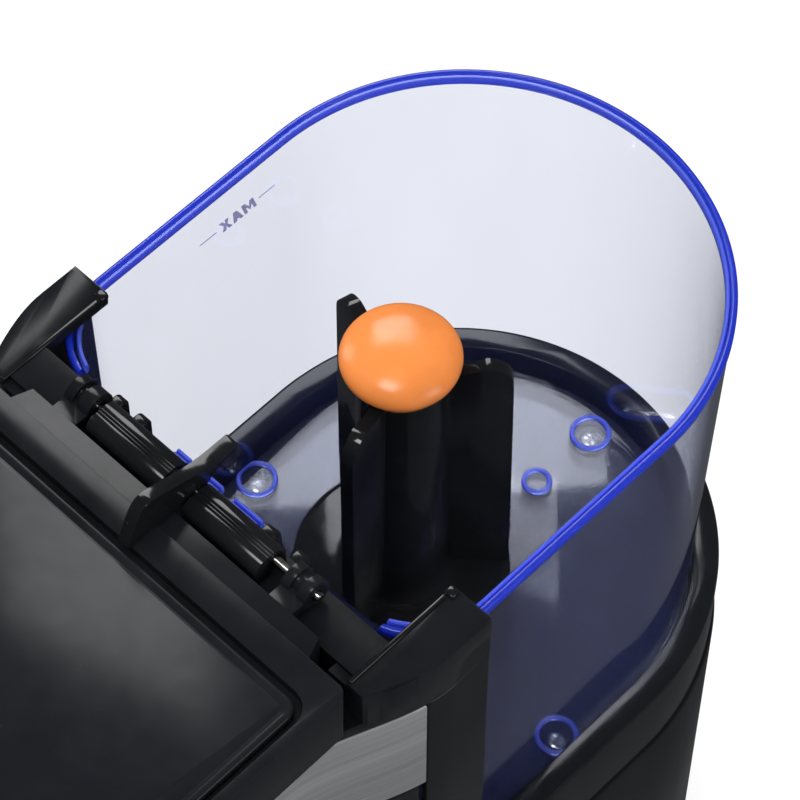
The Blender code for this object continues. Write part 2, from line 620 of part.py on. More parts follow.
pusher = lathe([(0.0, 0.2890), (0.0210, 0.2890), (0.0214, 0.2900), (0.0214, 0.3205), (0.0205, 0.3222),
                (0.0175, 0.3222), (0.0165, 0.3130), (0.0, 0.3130)], DRIVE_Y, "food_pusher", SATIN, 32)
add(pusher, box(-0.0168, 0.0168, DRIVE_Y - 0.0016, DRIVE_Y + 0.0016, 0.3120, 0.3215))
pivot(pusher, 0.0, DRIVE_Y, 0.3222)

# ---------------------------------------------------------------- lid
lid_plan = round_rect(LID_HALF, LID_FRONT, -0.0200, 0.0260, 0.0030)
lid = prism(lid_plan, LID_LOW, LID_TOP - 0.0002, "lid_frame", SATIN, 0.0008)
rear_strip = prism([(-0.0580, -0.0260), (0.0580, -0.0260), (0.0580, -0.0215), (0.0550, -0.0135),
                    (-0.0550, -0.0135), (-0.0580, -0.0215)],
                   LID_LOW + 0.0010, LID_TOP - 0.0014, "tool", SATIN, 0.0006)
add(lid, rear_strip)
cut(lid,
    prism(round_rect(LID_HALF - WALL, LID_FRONT + WALL, -0.0230, 0.0232, 0.0030),
          0.300, GROOVE_Z, "tool", MATT),
    box(-0.0520, 0.0520, -0.0260, -0.0160, 0.300, GROOVE_Z),
    prism(round_rect(PANEL_HALF + 0.0022, LID_FRONT + 0.0034, PANEL_BACK + 0.0022, 0.0226, 0.0070),
          0.3265, 0.340, "tool", MATT),
    box(-0.0620, 0.0620, -0.0265, -0.0255, LID_TOP - 0.0030, 0.340),
    box(-0.0600, 0.0600, -0.0180, -0.0120, 0.3000, 0.3120),
    box(-0.0130, 0.0130, -0.160, -0.145, 0.3120, 0.3225))
collars = []
for x0, inner, outer, x1 in ((-0.0475, -0.0443, -0.0424, -0.0382), (0.0360, 0.0390, 0.0418, 0.0450)):
    collars.append(rod(x0, HINGE_Y, HINGE_Z, 0.0048, inner - x0, "X", steps=24))
    collars.append(rod(outer, HINGE_Y, HINGE_Z, 0.0048, x1 - outer, "X", steps=24))
    collars.append(rod(x0 + 0.0004, HINGE_Y, HINGE_Z, 0.0034, x1 - x0 - 0.0008, "X", steps=24))
    collars.append(box(x0 + 0.0002, x1 - 0.0002, -0.0150, HINGE_Y, HINGE_Z - 0.0022, HINGE_Z + 0.0012))
add(lid, *collars)
cut(lid, rod(-0.0500, HINGE_Y, HINGE_Z, PIN_R + GAP, 0.1000, "X", steps=20))
pivot(lid, 0.0, HINGE_Y, HINGE_Z)

panel = prism(round_rect(PANEL_HALF, LID_FRONT + 0.0056, PANEL_BACK, 0.0204, 0.0050), 0.3268, LID_TOP,
              "lid_panel", SATIN, 0.0009)
pivot(panel, 0.0, HINGE_Y, HINGE_Z)

arm_low = [(-0.0300, 0.3301), (-0.0200, 0.3301), (-0.0192, 0.3291), (-0.0105, 0.3291)]
arm_low += arc(HINGE_Y, HINGE_Z, 0.0023, 150, 30, 8)
arm_low += [(HINGE_Y + 0.0040, 0.3302), (0.0020, 0.3322), (0.0062, 0.3335), (0.0095, 0.3332)]
arm_top = [(0.0105, 0.3350), (0.0100, 0.3364), (0.0086, 0.3369), (0.0033, 0.3370), (-0.0012, 0.3373),
           (-0.0060, 0.3384), (-0.0104, 0.3399), (-0.0140, 0.3412), (-0.0178, 0.3426), (-0.0205, 0.3433),
           (-0.0222, 0.3434), (-0.0240, 0.3426), (-0.0256, 0.3409), (-0.0270, 0.3384), (-0.0284, 0.3352),
           (-0.0294, 0.3330), (-0.0302, 0.3310), (-0.0305, LID_TOP)]
arm = side_prism((arm_low + arm_top)[::-1], -0.0031, 0.0009, "lid_arm", GLOSS)
cut(arm, box(-0.0100, 0.0100, PANEL_BACK - 0.010, PANEL_BACK + 0.0030, 0.3200, LID_TOP + 0.0002))
pivot(arm, 0.0, HINGE_Y, HINGE_Z)

button = box(-BUTTON_HALF, BUTTON_HALF, LID_FRONT - 0.0012, LID_FRONT + 0.0062, 0.3128, 0.3217,
             "latch_button", SATIN)
add(button, box(-0.0060, 0.0060, LID_FRONT + 0.0050, LID_FRONT + 0.0080, 0.3085, 0.3150))
pivot(button, 0.0, LID_FRONT, 0.3172)
coil_spring = rod(0.0, LID_FRONT + 0.0085, 0.3185, 0.0024, 0.0090, "Y", "latch_spring", BRIGHT, 16)
cut(coil_spring, rod(0.0, LID_FRONT + 0.0080, 0.3185, 0.0016, 0.0110, "Y", steps=16))

# ---------------------------------------------------------------- container
OUT_TOP, OUT_LOW = RIM_HALF + 0.0005, RIM_HALF - 0.0025
WALL_ROWS = ((CON_FLOOR, OUT_LOW, 0.0020),
             (RIM_Z - 0.0040, OUT_TOP, 0.0020),
             (RIM_Z - 0.0025, OUT_TOP + 0.0002, 0.0020),
             (RIM_Z - 0.0022, OUT_TOP + 0.0012, 0.0034),
             (RIM_Z + 0.0008, OUT_TOP + 0.0012, 0.0036),
             (RIM_Z + 0.0016, OUT_TOP + 0.0004, 0.0020))
rows = []
for z, half, thick in WALL_ROWS:
    front = CON_FRONT + (OUT_TOP + 0.0002 - half)
    rows.append((d_outline(half, front, 0.0250), d_outline(half - thick, front + thick, 0.0250 - thick), z))
container = tube(ring_levels(rows), "pulp_container", CLEAR)
con_floor = prism(d_outline(OUT_LOW - 0.0008, CON_FRONT + 0.0042, 0.0240),
                  CON_FLOOR, CON_FLOOR + 0.0025, "tool", CLEAR)
chimney = rod(0.0, ROTOR_Y, CON_FLOOR + 0.0010, 0.0085, 0.0145, "Z", steps=24)
add(container, con_floor, chimney)
cut(container,
    rod(0.0, ROTOR_Y, CON_FLOOR - 0.005, 0.0065, 0.030, "Z", steps=24),
    box(-0.0290, 0.0290, -0.005, 0.010, 0.2975, 0.3105))
pivot(container, 0.0, ROTOR_Y, CON_FLOOR)

# ---------------------------------------------------------------- leveller
ROTOR_LOW = 0.1664
lathe([(0.0, 0.1130), (0.0034, 0.1130), (0.0040, 0.1140), (0.0040, 0.1890), (0.0030, 0.1905),
       (0.0, 0.1905)], ROTOR_Y, "leveller_spindle", BRIGHT, 20)

rotor = lathe([(DRUM_R - 0.0030, ROTOR_LOW), (DRUM_R, ROTOR_LOW), (DRUM_R, DRUM_TOP - 0.0030),
               (DRUM_R - 0.0010, DRUM_TOP - 0.0009), (DRUM_R - 0.0032, DRUM_TOP),
               (0.0165, DRUM_TOP + 0.0008), (0.0154, DRUM_TOP + 0.0020), (0.0125, CAP_Z - 0.0062),
               (0.0050, CAP_Z - 0.0062), (0.0050, CAP_Z - 0.0140), (0.0, CAP_Z - 0.0140), (0.0, 0.1910),
               (0.0044, 0.1910), (0.0044, 0.1812), (0.0075, 0.1812), (0.0080, DRUM_TOP - 0.0034),
               (DRUM_R - 0.0030, DRUM_TOP - 0.0044)],
              ROTOR_Y, "leveller_rotor", GLOSS, 40)
fins = []
for k in range(3):
    prof = [(0.0090, DRUM_TOP - 0.0010), (FIN_R - 0.0002, DRUM_TOP - 0.0010), (FIN_R, DRUM_TOP + 0.0200),
            (FIN_R - 0.0009, FIN_TOP - 0.0085)]
    for i in range(1, 7):
        a = math.radians(90.0 * i / 6)
        prof.append((FIN_R - 0.0009 - 0.0075 * (1.0 - math.cos(a)), FIN_TOP - 0.0085 + 0.0075 * math.sin(a)))
    for i in range(1, 7):
        t = i / 6
        prof.append((FIN_R - 0.0084 - (FIN_R - 0.0084 - 0.0105) * t,
                     FIN_TOP - 0.0010 - 0.0032 * math.sin(math.pi * 0.5 * t)))
    prof.append((0.0090, FIN_TOP - 0.0080))
    fin = stack([[(r, ROTOR_Y - 0.0020, z) for r, z in prof], [(r, ROTOR_Y + 0.0020, z) for r, z in prof]],
                "tool", GLOSS)
    fins.append(turn(fin, "Z", FIN_START + 120.0 * k, (0.0, ROTOR_Y, 0.0)))
add(rotor, *fins)
pivot(rotor, 0.0, ROTOR_Y, ROTOR_LOW)

cap_prof = [(0.0, CAP_Z - 0.0135), (0.0044, CAP_Z - 0.0135), (0.0044, CAP_Z - 0.0058),
            (0.0150, CAP_Z - 0.0058), (CAP_R - 0.0012, CAP_Z - 0.0030), (CAP_R, CAP_Z - 0.0008),
            (CAP_R, CAP_Z)]
for i in range(1, 7):
    a = math.radians(90.0 * i / 7)
    cap_prof.append((CAP_R * math.cos(a), CAP_Z + 0.0068 * math.sin(a)))
cap_prof.append((0.0, CAP_Z + 0.0068))
cap = lathe(cap_prof, ROTOR_Y, "leveller_cap", ORANGE, 40)
pivot(cap, 0.0, ROTOR_Y, CAP_Z)


def gear(cx, cy, z0, z1, root, tip, count, bore, name, look):
    """Spur gear with straight-sided teeth."""
    pts = []
    for i in range(count):
        base = 360.0 * i / count
        step = 360.0 / count
        for share, r in ((0.00, root), (0.28, root), (0.40, tip), (0.62, tip), (0.74, root)):
            a = math.radians(base + step * share)
            pts.append((cx + r * math.cos(a), cy + r * math.sin(a)))
    wheel = prism(pts, z0, z1, name, look)
    return cut(wheel, rod(cx, cy, z0 - 0.001, bore, z1 - z0 + 0.002, "Z", steps=16))


GEAR_Z0, GEAR_Z1 = 0.1180, 0.1250
PINION_Y = ROTOR_Y + PINION_SHIFT
MOTOR_Y = ROTOR_Y + MOTOR_SHIFT
gear(0.0, ROTOR_Y, GEAR_Z0, GEAR_Z1, 0.0246, 0.0266, 30, SHAFT_BORE, "leveller_gear", NYLON)
pinion = gear(0.0, PINION_Y, GEAR_Z0, GEAR_Z1, 0.0074, 0.0092, 10, 0.0023, "leveller_pinion", BRIGHT)
turn(pinion, "Z", 18.0, (0.0, PINION_Y, 0.0))
gearbox = prism(circle(0.0, MOTOR_Y, 0.0260, 28), 0.0860, 0.1120, "leveller_gearmotor", STEEL)
add(gearbox,
    rod(0.0, MOTOR_Y, 0.0560, 0.0180, 0.0310, "Z", steps=24),
    rod(0.0, PINION_Y, 0.1110, 0.0020, 0.0160, "Z", steps=12))
bracket = box(-0.0380, 0.0380, ROTOR_Y + 0.0120, ROTOR_Y + 0.0680, 0.0520, 0.0557, "gearmotor_bracket", MATT)
legs = []
for s in (-1.0, 1.0):
    legs.append(box(s * 0.036 - 0.002, s * 0.036 + 0.002, ROTOR_Y + 0.0150, ROTOR_Y + 0.0650, 0.0078, 0.0540))
add(bracket, *legs)
lathe([(0.0044, 0.1262), (0.0120, 0.1262), (0.0120, 0.1300), (0.0044, 0.1300)],
      ROTOR_Y, "spindle_collar", NYLON, 20)

# ---------------------------------------------------------------- controls
FACE_FRONT = Matrix.Rotation(math.pi / 2, 4, "X")
knob = lathe([(0.0, 0.0), (0.0175, 0.0), (0.0185, 0.0008), (0.0170, 0.0125), (0.0155, 0.0140),
              (0.0, 0.0140)], 0.0, "speed_knob", SATIN, 32)
knob.data.transform(Matrix.Translation((0.0, KNOB_FACE, KNOB_Z)) @ FACE_FRONT)
add(knob,
    box(-0.0022, 0.0022, -0.1725, -0.1600, KNOB_Z - 0.0145, KNOB_Z + 0.0145),
    rod(0.0, -0.1565, KNOB_Z, 0.0030, 0.0180, "Y", steps=16))
pivot(knob, 0.0, KNOB_FACE, KNOB_Z)
bezel = lathe([(0.0060, 0.0), (0.0122, 0.0), (0.0122, 0.0052), (0.0210, 0.0052), (0.0210, 0.0064),
               (0.0200, 0.0072), (0.0060, 0.0072)], 0.0, "knob_bezel", STEEL, 32)
bezel.data.transform(Matrix.Translation((0.0, -0.1483, KNOB_Z)) @ FACE_FRONT)
switch = box(-0.0140, 0.0140, -0.1470, -0.1270, 0.0710, 0.0990, "speed_switch", MATT)
cut(switch, rod(0.0, -0.1480, KNOB_Z, 0.0034, 0.0130, "Y", steps=16))
board = box(-0.0450, 0.0450, 0.0200, 0.0600, 0.0300, 0.0316, "control_board", BOARD)
bits = []
for i in range(4):
    bits.append(rod(-0.033 + 0.022 * i, 0.034 + 0.004 * (i % 2), 0.0310, 0.0045,
                    0.0160 - 0.002 * (i % 3), "Z", steps=12))
for i in range(5):
    bits.append(box(-0.038 + 0.018 * i, -0.029 + 0.018 * i, 0.0490, 0.0550, 0.0310, 0.0340))
for s in (-1.0, 1.0):
    for y in (0.0240, 0.0560):
        bits.append(rod(s * 0.041, y, 0.0078, 0.0028, 0.0230, "Z", steps=8))
add(board, *bits)
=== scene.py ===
"""Looks of the centrifugal juicer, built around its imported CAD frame.  Metres, +Z up."""

import json
import math

import bmesh
import bpy
from mathutils import Matrix, Vector

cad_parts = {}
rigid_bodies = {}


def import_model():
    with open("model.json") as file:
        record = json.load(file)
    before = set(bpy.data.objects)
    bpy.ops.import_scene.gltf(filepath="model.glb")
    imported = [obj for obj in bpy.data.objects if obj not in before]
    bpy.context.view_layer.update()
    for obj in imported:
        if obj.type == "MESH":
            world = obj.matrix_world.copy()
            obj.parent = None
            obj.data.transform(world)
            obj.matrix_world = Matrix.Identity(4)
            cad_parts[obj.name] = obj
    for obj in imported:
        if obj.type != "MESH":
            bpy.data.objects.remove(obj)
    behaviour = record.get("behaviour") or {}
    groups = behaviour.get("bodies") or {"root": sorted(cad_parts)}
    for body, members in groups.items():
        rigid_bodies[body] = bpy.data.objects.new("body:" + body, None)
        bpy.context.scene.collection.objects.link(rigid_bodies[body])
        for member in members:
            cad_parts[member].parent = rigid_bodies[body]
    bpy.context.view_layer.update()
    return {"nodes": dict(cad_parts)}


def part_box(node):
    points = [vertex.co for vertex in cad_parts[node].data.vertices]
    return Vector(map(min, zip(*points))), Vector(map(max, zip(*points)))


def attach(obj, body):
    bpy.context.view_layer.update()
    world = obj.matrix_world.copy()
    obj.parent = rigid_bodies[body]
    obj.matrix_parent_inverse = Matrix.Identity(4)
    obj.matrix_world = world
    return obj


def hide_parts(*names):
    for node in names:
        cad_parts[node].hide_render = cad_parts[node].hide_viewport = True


for existing in list(bpy.data.objects):
    bpy.data.objects.remove(existing)

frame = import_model()


# ---------------------------------------------------------------- places taken from the frame
def span(node):
    """Lowest and highest corner of a CAD node."""
    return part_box(node)


def middle(node):
    """Plan centre of a CAD node."""
    lo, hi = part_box(node)
    return (lo.x + hi.x) / 2, (lo.y + hi.y) / 2


BASE_LO, BASE_HI = span("base_housing")
TRAY_LO, TRAY_HI = span("container_tray")
TOWER_LO, TOWER_HI = span("tower_housing")
BAND_LO, BAND_HI = span("steel_band")
TOP_LO, TOP_HI = span("top_frame")
LID_LO, LID_HI = span("lid_frame")
PANEL_LO, PANEL_HI = span("lid_panel")
ARM_LO, ARM_HI = span("lid_arm")
PIN_LO, PIN_HI = span("hinge_pin")
CON_LO, CON_HI = span("pulp_container")
ROTOR_LO, ROTOR_HI = span("leveller_rotor")
CAP_HI = span("leveller_cap")[1]
KNOB_LO, KNOB_HI = span("speed_knob")
BUTTON_LO, BUTTON_HI = span("latch_button")

BASE_HALF = BASE_HI.x
RING_HALF = TRAY_HI.x
CON_Y = BASE_HI.y - BASE_HALF
CON_HALF = CON_HI.x
CON_FRONT = CON_LO.y
WING_Y = TOWER_HI.y
REAR_HALF = TOWER_HI.x
TOWER_HALF = 0.066
NOSE_TIP = TOWER_LO.y
NOSE_LEN = 0.050
NOSE_Y = NOSE_TIP + NOSE_LEN
NOSE_POW = 2.6
FLARE_Y0, FLARE_Y1 = -0.040, 0.012
DRIVE_Y = middle("disc_clamp")[1]
ROTOR_Y = middle("leveller_cap")[1]
HINGE_Y = (PIN_LO.y + PIN_HI.y) / 2
HINGE_Z = (PIN_LO.z + PIN_HI.z) / 2
PIN_R = (PIN_HI.z - PIN_LO.z) / 2

SHELL = 0.0030                     # wall of the moulded housings
SCREWS = ("tray_screw_left", "tray_screw_right", "tray_screw_rear")
KNOB_Z = (KNOB_LO.z + KNOB_HI.z) / 2
KNOB_HOLE_R = 0.0125
CORD_HOLE_Y, CORD_HOLE_Z, CORD_HOLE_R = 0.170, 0.032, 0.0062
TRAY_WALL_IN = 0.0735              # inner half width of the tray ring
TRAY_DEPTH = 0.0140                # tray floor below the top of the ring
DIMPLE_Y = 0.136                   # small dimple at the back of the tray floor
EAR_FRONT = -0.0155
EAR_IN = 0.0665                    # inner half width between the ears
BAR_FRONT, BAR_REAR = -0.0125, 0.0008
DECK_TOP = 0.3065                  # deck of the top frame under the lid
FEED_R = 0.0595                    # round opening over the filter basket
DOOR_HALF = 0.0303                 # pulp way through tower and frame
BARREL_R, BARREL_BORE = 0.0040, 0.0019
BARREL_FRONT = HINGE_Y - 0.0035    # centre of the rounded front edge of the barrels
COLLAR_R, NECK_R = 0.0048, 0.0034
COLLARS = ((-0.0475, -0.0443, -0.0424, -0.0382), (0.0360, 0.0390, 0.0418, 0.0450))
PIN_GAP = 0.0003
CON_CORNER = 0.0250                # front corner radius of the container
FLOOR_THICK = 0.0025               # container floor
FRONT_GAPS = ((-0.0565, -0.0188), (-0.0139, -0.0064), (-0.0014, 0.0036), (0.0140, 0.0594))
BOSS_R, DIMPLE_R = 0.0068, 0.0050  # rings over the bosses and the dimple
DRUM_R, FIN_R, FIN_TURN = 0.0338, 0.033, 46.0
CAP_RISE = 0.0068                  # dome height of the cap

CAM_AZIMUTH, CAM_ELEVATION, CAM_DISTANCE = math.radians(44.2737), math.radians(57.6953), 0.9607
CAM_LENS, CAM_SENSOR = 156.75, 36.0
CAM_AIM_X, CAM_AIM_BACK = 0.01296, 0.04034
LAMPS = (                          # name, place, size, watts, seen through clear walls
    ("soft_box_top", (0.02, -0.30, 1.45), (0.35, 0.35), 3.4, True),
    ("soft_box_back", (-0.79, 0.70, 1.20), (0.56, 0.64), 6.0, True),
    ("soft_box_left", (-1.20, -0.20, 0.75), (0.4, 0.8), 2.6, False),
    ("soft_box_right", (1.20, 0.25, 0.80), (0.4, 0.9), 2.6, False),
)


# ---------------------------------------------------------------- materials
def node_material(name):
    """Fresh material with its nodes, links and Principled shader."""
    mat = bpy.data.materials.new(name)
    mat.use_nodes = True
    nodes, links = mat.node_tree.nodes, mat.node_tree.links
    return mat, nodes, links, nodes["Principled BSDF"]


def noise(nodes, links, scale, detail=3.0, stretch=(1.0, 1.0, 1.0), rough=0.5):
    """Noise in object space, optionally stretched."""
    coord = nodes.new("ShaderNodeTexCoord")
    mapping = nodes.new("ShaderNodeMapping")
    mapping.inputs["Scale"].default_value = stretch
    tex = nodes.new("ShaderNodeTexNoise")
    tex.inputs["Scale"].default_value = scale
    tex.inputs["Detail"].default_value = detail
    tex.inputs["Roughness"].default_value = rough
    links.new(coord.outputs["Object"], mapping.inputs["Vector"])
    links.new(mapping.outputs["Vector"], tex.inputs["Vector"])
    return tex


def ramp(nodes, links, source, low, high, a, b):
    """Map a 0..1 source between two limits to values a..b."""
    box = nodes.new("ShaderNodeMapRange")
    box.inputs["From Min"].default_value = low
    box.inputs["From Max"].default_value = high
    box.inputs["To Min"].default_value = a
    box.inputs["To Max"].default_value = b
    links.new(source, box.inputs["Value"])
    return box.outputs["Result"]


def blend_colour(nodes, links, share, first, second):
    """Mix two colours by a 0..1 share."""
    mix = nodes.new("ShaderNodeMix")
    mix.data_type = "RGBA"
    mix.inputs["A"].default_value = (*first, 1.0)
    mix.inputs["B"].default_value = (*second, 1.0)
    links.new(share, mix.inputs["Factor"])
    return mix.outputs["Result"]


def bump(nodes, links, shader, height, strength, distance):
    """Bump from a height."""
    node = nodes.new("ShaderNodeBump")
    node.inputs["Strength"].default_value = strength
    node.inputs["Distance"].default_value = distance
    links.new(height, node.inputs["Height"])
    links.new(node.outputs["Normal"], shader.inputs["Normal"])
    return node


def plastic(name, colour, rough, grain=0.0, grain_scale=2600.0, dust=0.0, swing=0.05, spec=0.5):
    """Moulded plastic: slow change of tone and gloss, fine grain, and a few specks of dust."""
    mat, nodes, links, shader = node_material(name)
    slow = noise(nodes, links, 38.0, 4.0)
    lighter = tuple(min(1.0, c * 1.35 + 0.002) for c in colour)
    tone = blend_colour(nodes, links, ramp(nodes, links, slow.outputs["Fac"], 0.3, 0.7, 0.0, 1.0), colour,
                        lighter)
    if dust > 0.0:
        fleck = noise(nodes, links, 1500.0, 0.0)
        amount = ramp(nodes, links, fleck.outputs["Fac"], 0.90, 0.93, 0.0, dust)
        mix = nodes.new("ShaderNodeMix")
        mix.data_type = "RGBA"
        links.new(amount, mix.inputs["Factor"])
        links.new(tone, mix.inputs["A"])
        mix.inputs["B"].default_value = (0.45, 0.45, 0.46, 1.0)
        tone = mix.outputs["Result"]
    links.new(tone, shader.inputs["Base Color"])
    wear = noise(nodes, links, 160.0, 5.0)
    links.new(ramp(nodes, links, wear.outputs["Fac"], 0.3, 0.7, max(0.03, rough - swing), rough + swing),
              shader.inputs["Roughness"])
    shader.inputs["IOR"].default_value = 1.50
    shader.inputs["Specular IOR Level"].default_value = spec
    if grain > 0.0:
        fine = noise(nodes, links, grain_scale, 2.0)
        bump(nodes, links, shader, fine.outputs["Fac"], grain, 0.0001)
    return mat


def brushed(name, colour, stretch, rough=0.34, metal=1.0):
    """Brushed steel: long scratches across the stretched axis."""
    mat, nodes, links, shader = node_material(name)
    shader.inputs["Metallic"].default_value = metal
    hair = noise(nodes, links, 1.0, 6.0, stretch, 0.65)
    wide = noise(nodes, links, 1.0, 3.0, tuple(s * 0.18 for s in stretch), 0.5)
    both = nodes.new("ShaderNodeMath")
    both.operation = "ADD"
    links.new(hair.outputs["Fac"], both.inputs[0])
    links.new(wide.outputs["Fac"], both.inputs[1])
    dark = tuple(c * 0.72 for c in colour)
    links.new(blend_colour(nodes, links, ramp(nodes, links, both.outputs[0], 0.75, 1.25, 0.0, 1.0), dark,
                           colour),
              shader.inputs["Base Color"])
    links.new(ramp(nodes, links, hair.outputs["Fac"], 0.3, 0.7, rough - 0.10, rough + 0.12),
              shader.inputs["Roughness"])
    bump(nodes, links, shader, hair.outputs["Fac"], 0.25, 0.0002)
    return mat


def polished(name, colour, rough=0.14):
    """Turned or plated metal with faint wear."""
    mat, nodes, links, shader = node_material(name)
    shader.inputs["Metallic"].default_value = 1.0
    wear = noise(nodes, links, 700.0, 4.0)
    dark = tuple(c * 0.80 for c in colour)
    links.new(blend_colour(nodes, links, ramp(nodes, links, wear.outputs["Fac"], 0.35, 0.65, 0.0, 1.0), dark,
                           colour),
              shader.inputs["Base Color"])
    links.new(ramp(nodes, links, wear.outputs["Fac"], 0.3, 0.7, rough, rough + 0.12),
              shader.inputs["Roughness"])
    return mat


def clear_plastic(name, colour, rough=0.015, haze=0.0, haze_colour=(0.2, 0.25, 0.6)):
    """Clear moulded plastic that lets lamp light through, with optional haze and faint flow marks."""
    mat, nodes, links, shader = node_material(name)
    shader.inputs["Transmission Weight"].default_value = 1.0
    shader.inputs["IOR"].default_value = 1.49
    flow = noise(nodes, links, 30.0, 3.0, (1.0, 1.0, 0.35))
    tint = tuple(min(1.0, c * 0.97) for c in colour)
    links.new(blend_colour(nodes, links, ramp(nodes, links, flow.outputs["Fac"], 0.3, 0.7, 0.0, 1.0), tint,
                           colour),
              shader.inputs["Base Color"])
    links.new(ramp(nodes, links, flow.outputs["Fac"], 0.3, 0.7, rough, rough + 0.02),
              shader.inputs["Roughness"])
    out = nodes["Material Output"]
    surface = shader.outputs["BSDF"]
    if haze > 0.0:
        cloudy = nodes.new("ShaderNodeBsdfPrincipled")
        cloudy.inputs["Base Color"].default_value = (*haze_colour, 1.0)
        cloudy.inputs["Roughness"].default_value = 0.25
        stir = nodes.new("ShaderNodeMixShader")
        stir.inputs["Fac"].default_value = haze
        links.new(surface, stir.inputs[1])
        links.new(cloudy.outputs["BSDF"], stir.inputs[2])
        surface = stir.outputs["Shader"]
    path = nodes.new("ShaderNodeLightPath")
    open_way = nodes.new("ShaderNodeBsdfTransparent")
    open_way.inputs["Color"].default_value = (*[0.25 + 0.75 * c for c in colour], 1.0)
    mix = nodes.new("ShaderNodeMixShader")
    links.new(path.outputs["Is Shadow Ray"], mix.inputs["Fac"])
    links.new(surface, mix.inputs[1])
    links.new(open_way.outputs["BSDF"], mix.inputs[2])
    links.new(mix.outputs["Shader"], out.inputs["Surface"])
    return mat


GLOSS = plastic("black_gloss", (0.0055, 0.0058, 0.0068), 0.13, 0.03, 900.0, 0.12, 0.04, 0.45)
GLOSS_ROTOR = plastic("black_gloss_rotor", (0.006, 0.0062, 0.0072), 0.10, 0.03, 700.0, 0.10, 0.04)
SATIN = plastic("black_satin", (0.0060, 0.0066, 0.0084), 0.20, 0.012, 3000.0, 0.12, 0.03, 0.25)
SATIN_PANEL = plastic("black_satin_panel", (0.0066, 0.0074, 0.0096), 0.20, 0.012, 3400.0, 0.12, 0.03, 0.20)
MATT = plastic("black_matt", (0.010, 0.0105, 0.012), 0.60, 0.30, 2200.0, 0.0, 0.06)
RUBBER = plastic("rubber", (0.012, 0.012, 0.013), 0.85, 0.35, 1800.0, 0.0, 0.05)
NYLON = plastic("nylon", (0.62, 0.61, 0.57), 0.45, 0.12, 1500.0, 0.0, 0.06)
ORANGE = plastic("orange_cap", (0.60, 0.180, 0.038), 0.22, 0.04, 800.0, 0.0, 0.05)
TRAY_FLOOR = plastic("tray_floor", (0.010, 0.011, 0.015), 0.11, 0.02, 900.0, 0.0, 0.03, 0.7)
PCB = plastic("board_green", (0.015, 0.10, 0.045), 0.42, 0.10, 900.0, 0.0, 0.08)
PRINT = plastic("fill_mark_ink", (0.50, 0.50, 0.76), 0.55, 0.05, 1500.0, 0.0, 0.05)
BAND = brushed("steel_brushed_band", (0.66, 0.67, 0.69), (9.0, 9.0, 1500.0), 0.34, 0.75)
BRUSHED = brushed("steel_brushed", (0.55, 0.55, 0.56), (60.0, 60.0, 1400.0), 0.40)
BRIGHT = polished("steel_polished", (0.78, 0.77, 0.74))
COPPER = polished("copper_winding", (0.70, 0.30, 0.12), 0.30)
CLEAR = clear_plastic("clear_wall", (0.88, 0.905, 0.985), 0.01, 0.03, (0.10, 0.13, 0.50))
CLEAR_RIM = clear_plastic("clear_rim", (0.10, 0.18, 0.92), 0.03, 0.55, (0.012, 0.040, 0.55))
CLEAR_LIP = clear_plastic("clear_lip", (0.36, 0.45, 0.98), 0.03, 0.40, (0.12, 0.18, 0.90))
SMOKE = clear_plastic("smoke_clear", (0.55, 0.58, 0.64), 0.03, 0.10, (0.08, 0.09, 0.12))


# ---------------------------------------------------------------- mesh helpers
def sharpen(obj, limit=32.0):
    """Smooth shading with sharp edges above a fold angle."""
    bm = bmesh.new()
    bm.from_mesh(obj.data)
    for face in bm.faces:
        face.smooth = True
    for edge in bm.edges:
        if len(edge.link_faces) == 2:
            edge.smooth = edge.calc_face_angle() < math.radians(limit)
    bm.to_mesh(obj.data)
    bm.free()
    return obj


def finish(bm, name, mat):
    """Named object from a bmesh."""
    bmesh.ops.recalc_face_normals(bm, faces=bm.faces)
    mesh = bpy.data.meshes.new(name)
    bm.to_mesh(mesh)
    bm.free()
    obj = bpy.data.objects.new(name, mesh)
    bpy.context.scene.collection.objects.link(obj)
    obj.data.materials.append(mat)
    return obj


def arc(cx, cy, radius, a0, a1, steps):
    """Points on a circle from a0 to a1 degrees, both ends included."""
    out = []
    for i in range(steps + 1):
        a = math.radians(a0 + (a1 - a0) * i / steps)
        out.append((cx + radius * math.cos(a), cy + radius * math.sin(a)))
    return out


def circle(cx, cy, radius, steps=48):
    """Closed circle."""
    return arc(cx, cy, radius, 0.0, 360.0, steps)[:-1]


def lift(outline, z):
    """Plan outline at height z."""
    return [(x, y, z) for x, y in outline]


def stack(levels, name, mat):
    """Closed solid through loops of equal count."""
    bm = bmesh.new()
    loops = [[bm.verts.new(p) for p in level] for level in levels]
    count = len(loops[0])
    for low, high in zip(loops, loops[1:]):
        for i in range(count):
            j = (i + 1) % count
            bm.faces.new((low[i], low[j], high[j], high[i]))
    bm.faces.new(loops[0][::-1])
    bm.faces.new(loops[-1])
    return finish(bm, name, mat)


def prism(outline, z0, z1, name="tool", mat=None):
    """Straight prism over a plan outline."""
    return stack([lift(outline, z0), lift(outline, z1)], name, mat or GLOSS)


def side_prism(profile, x0, x1, name="tool", mat=None):
    """Prism along X over (y, z) points."""
    return stack([[(x0, y, z) for y, z in profile], [(x1, y, z) for y, z in profile]], name, mat or GLOSS)


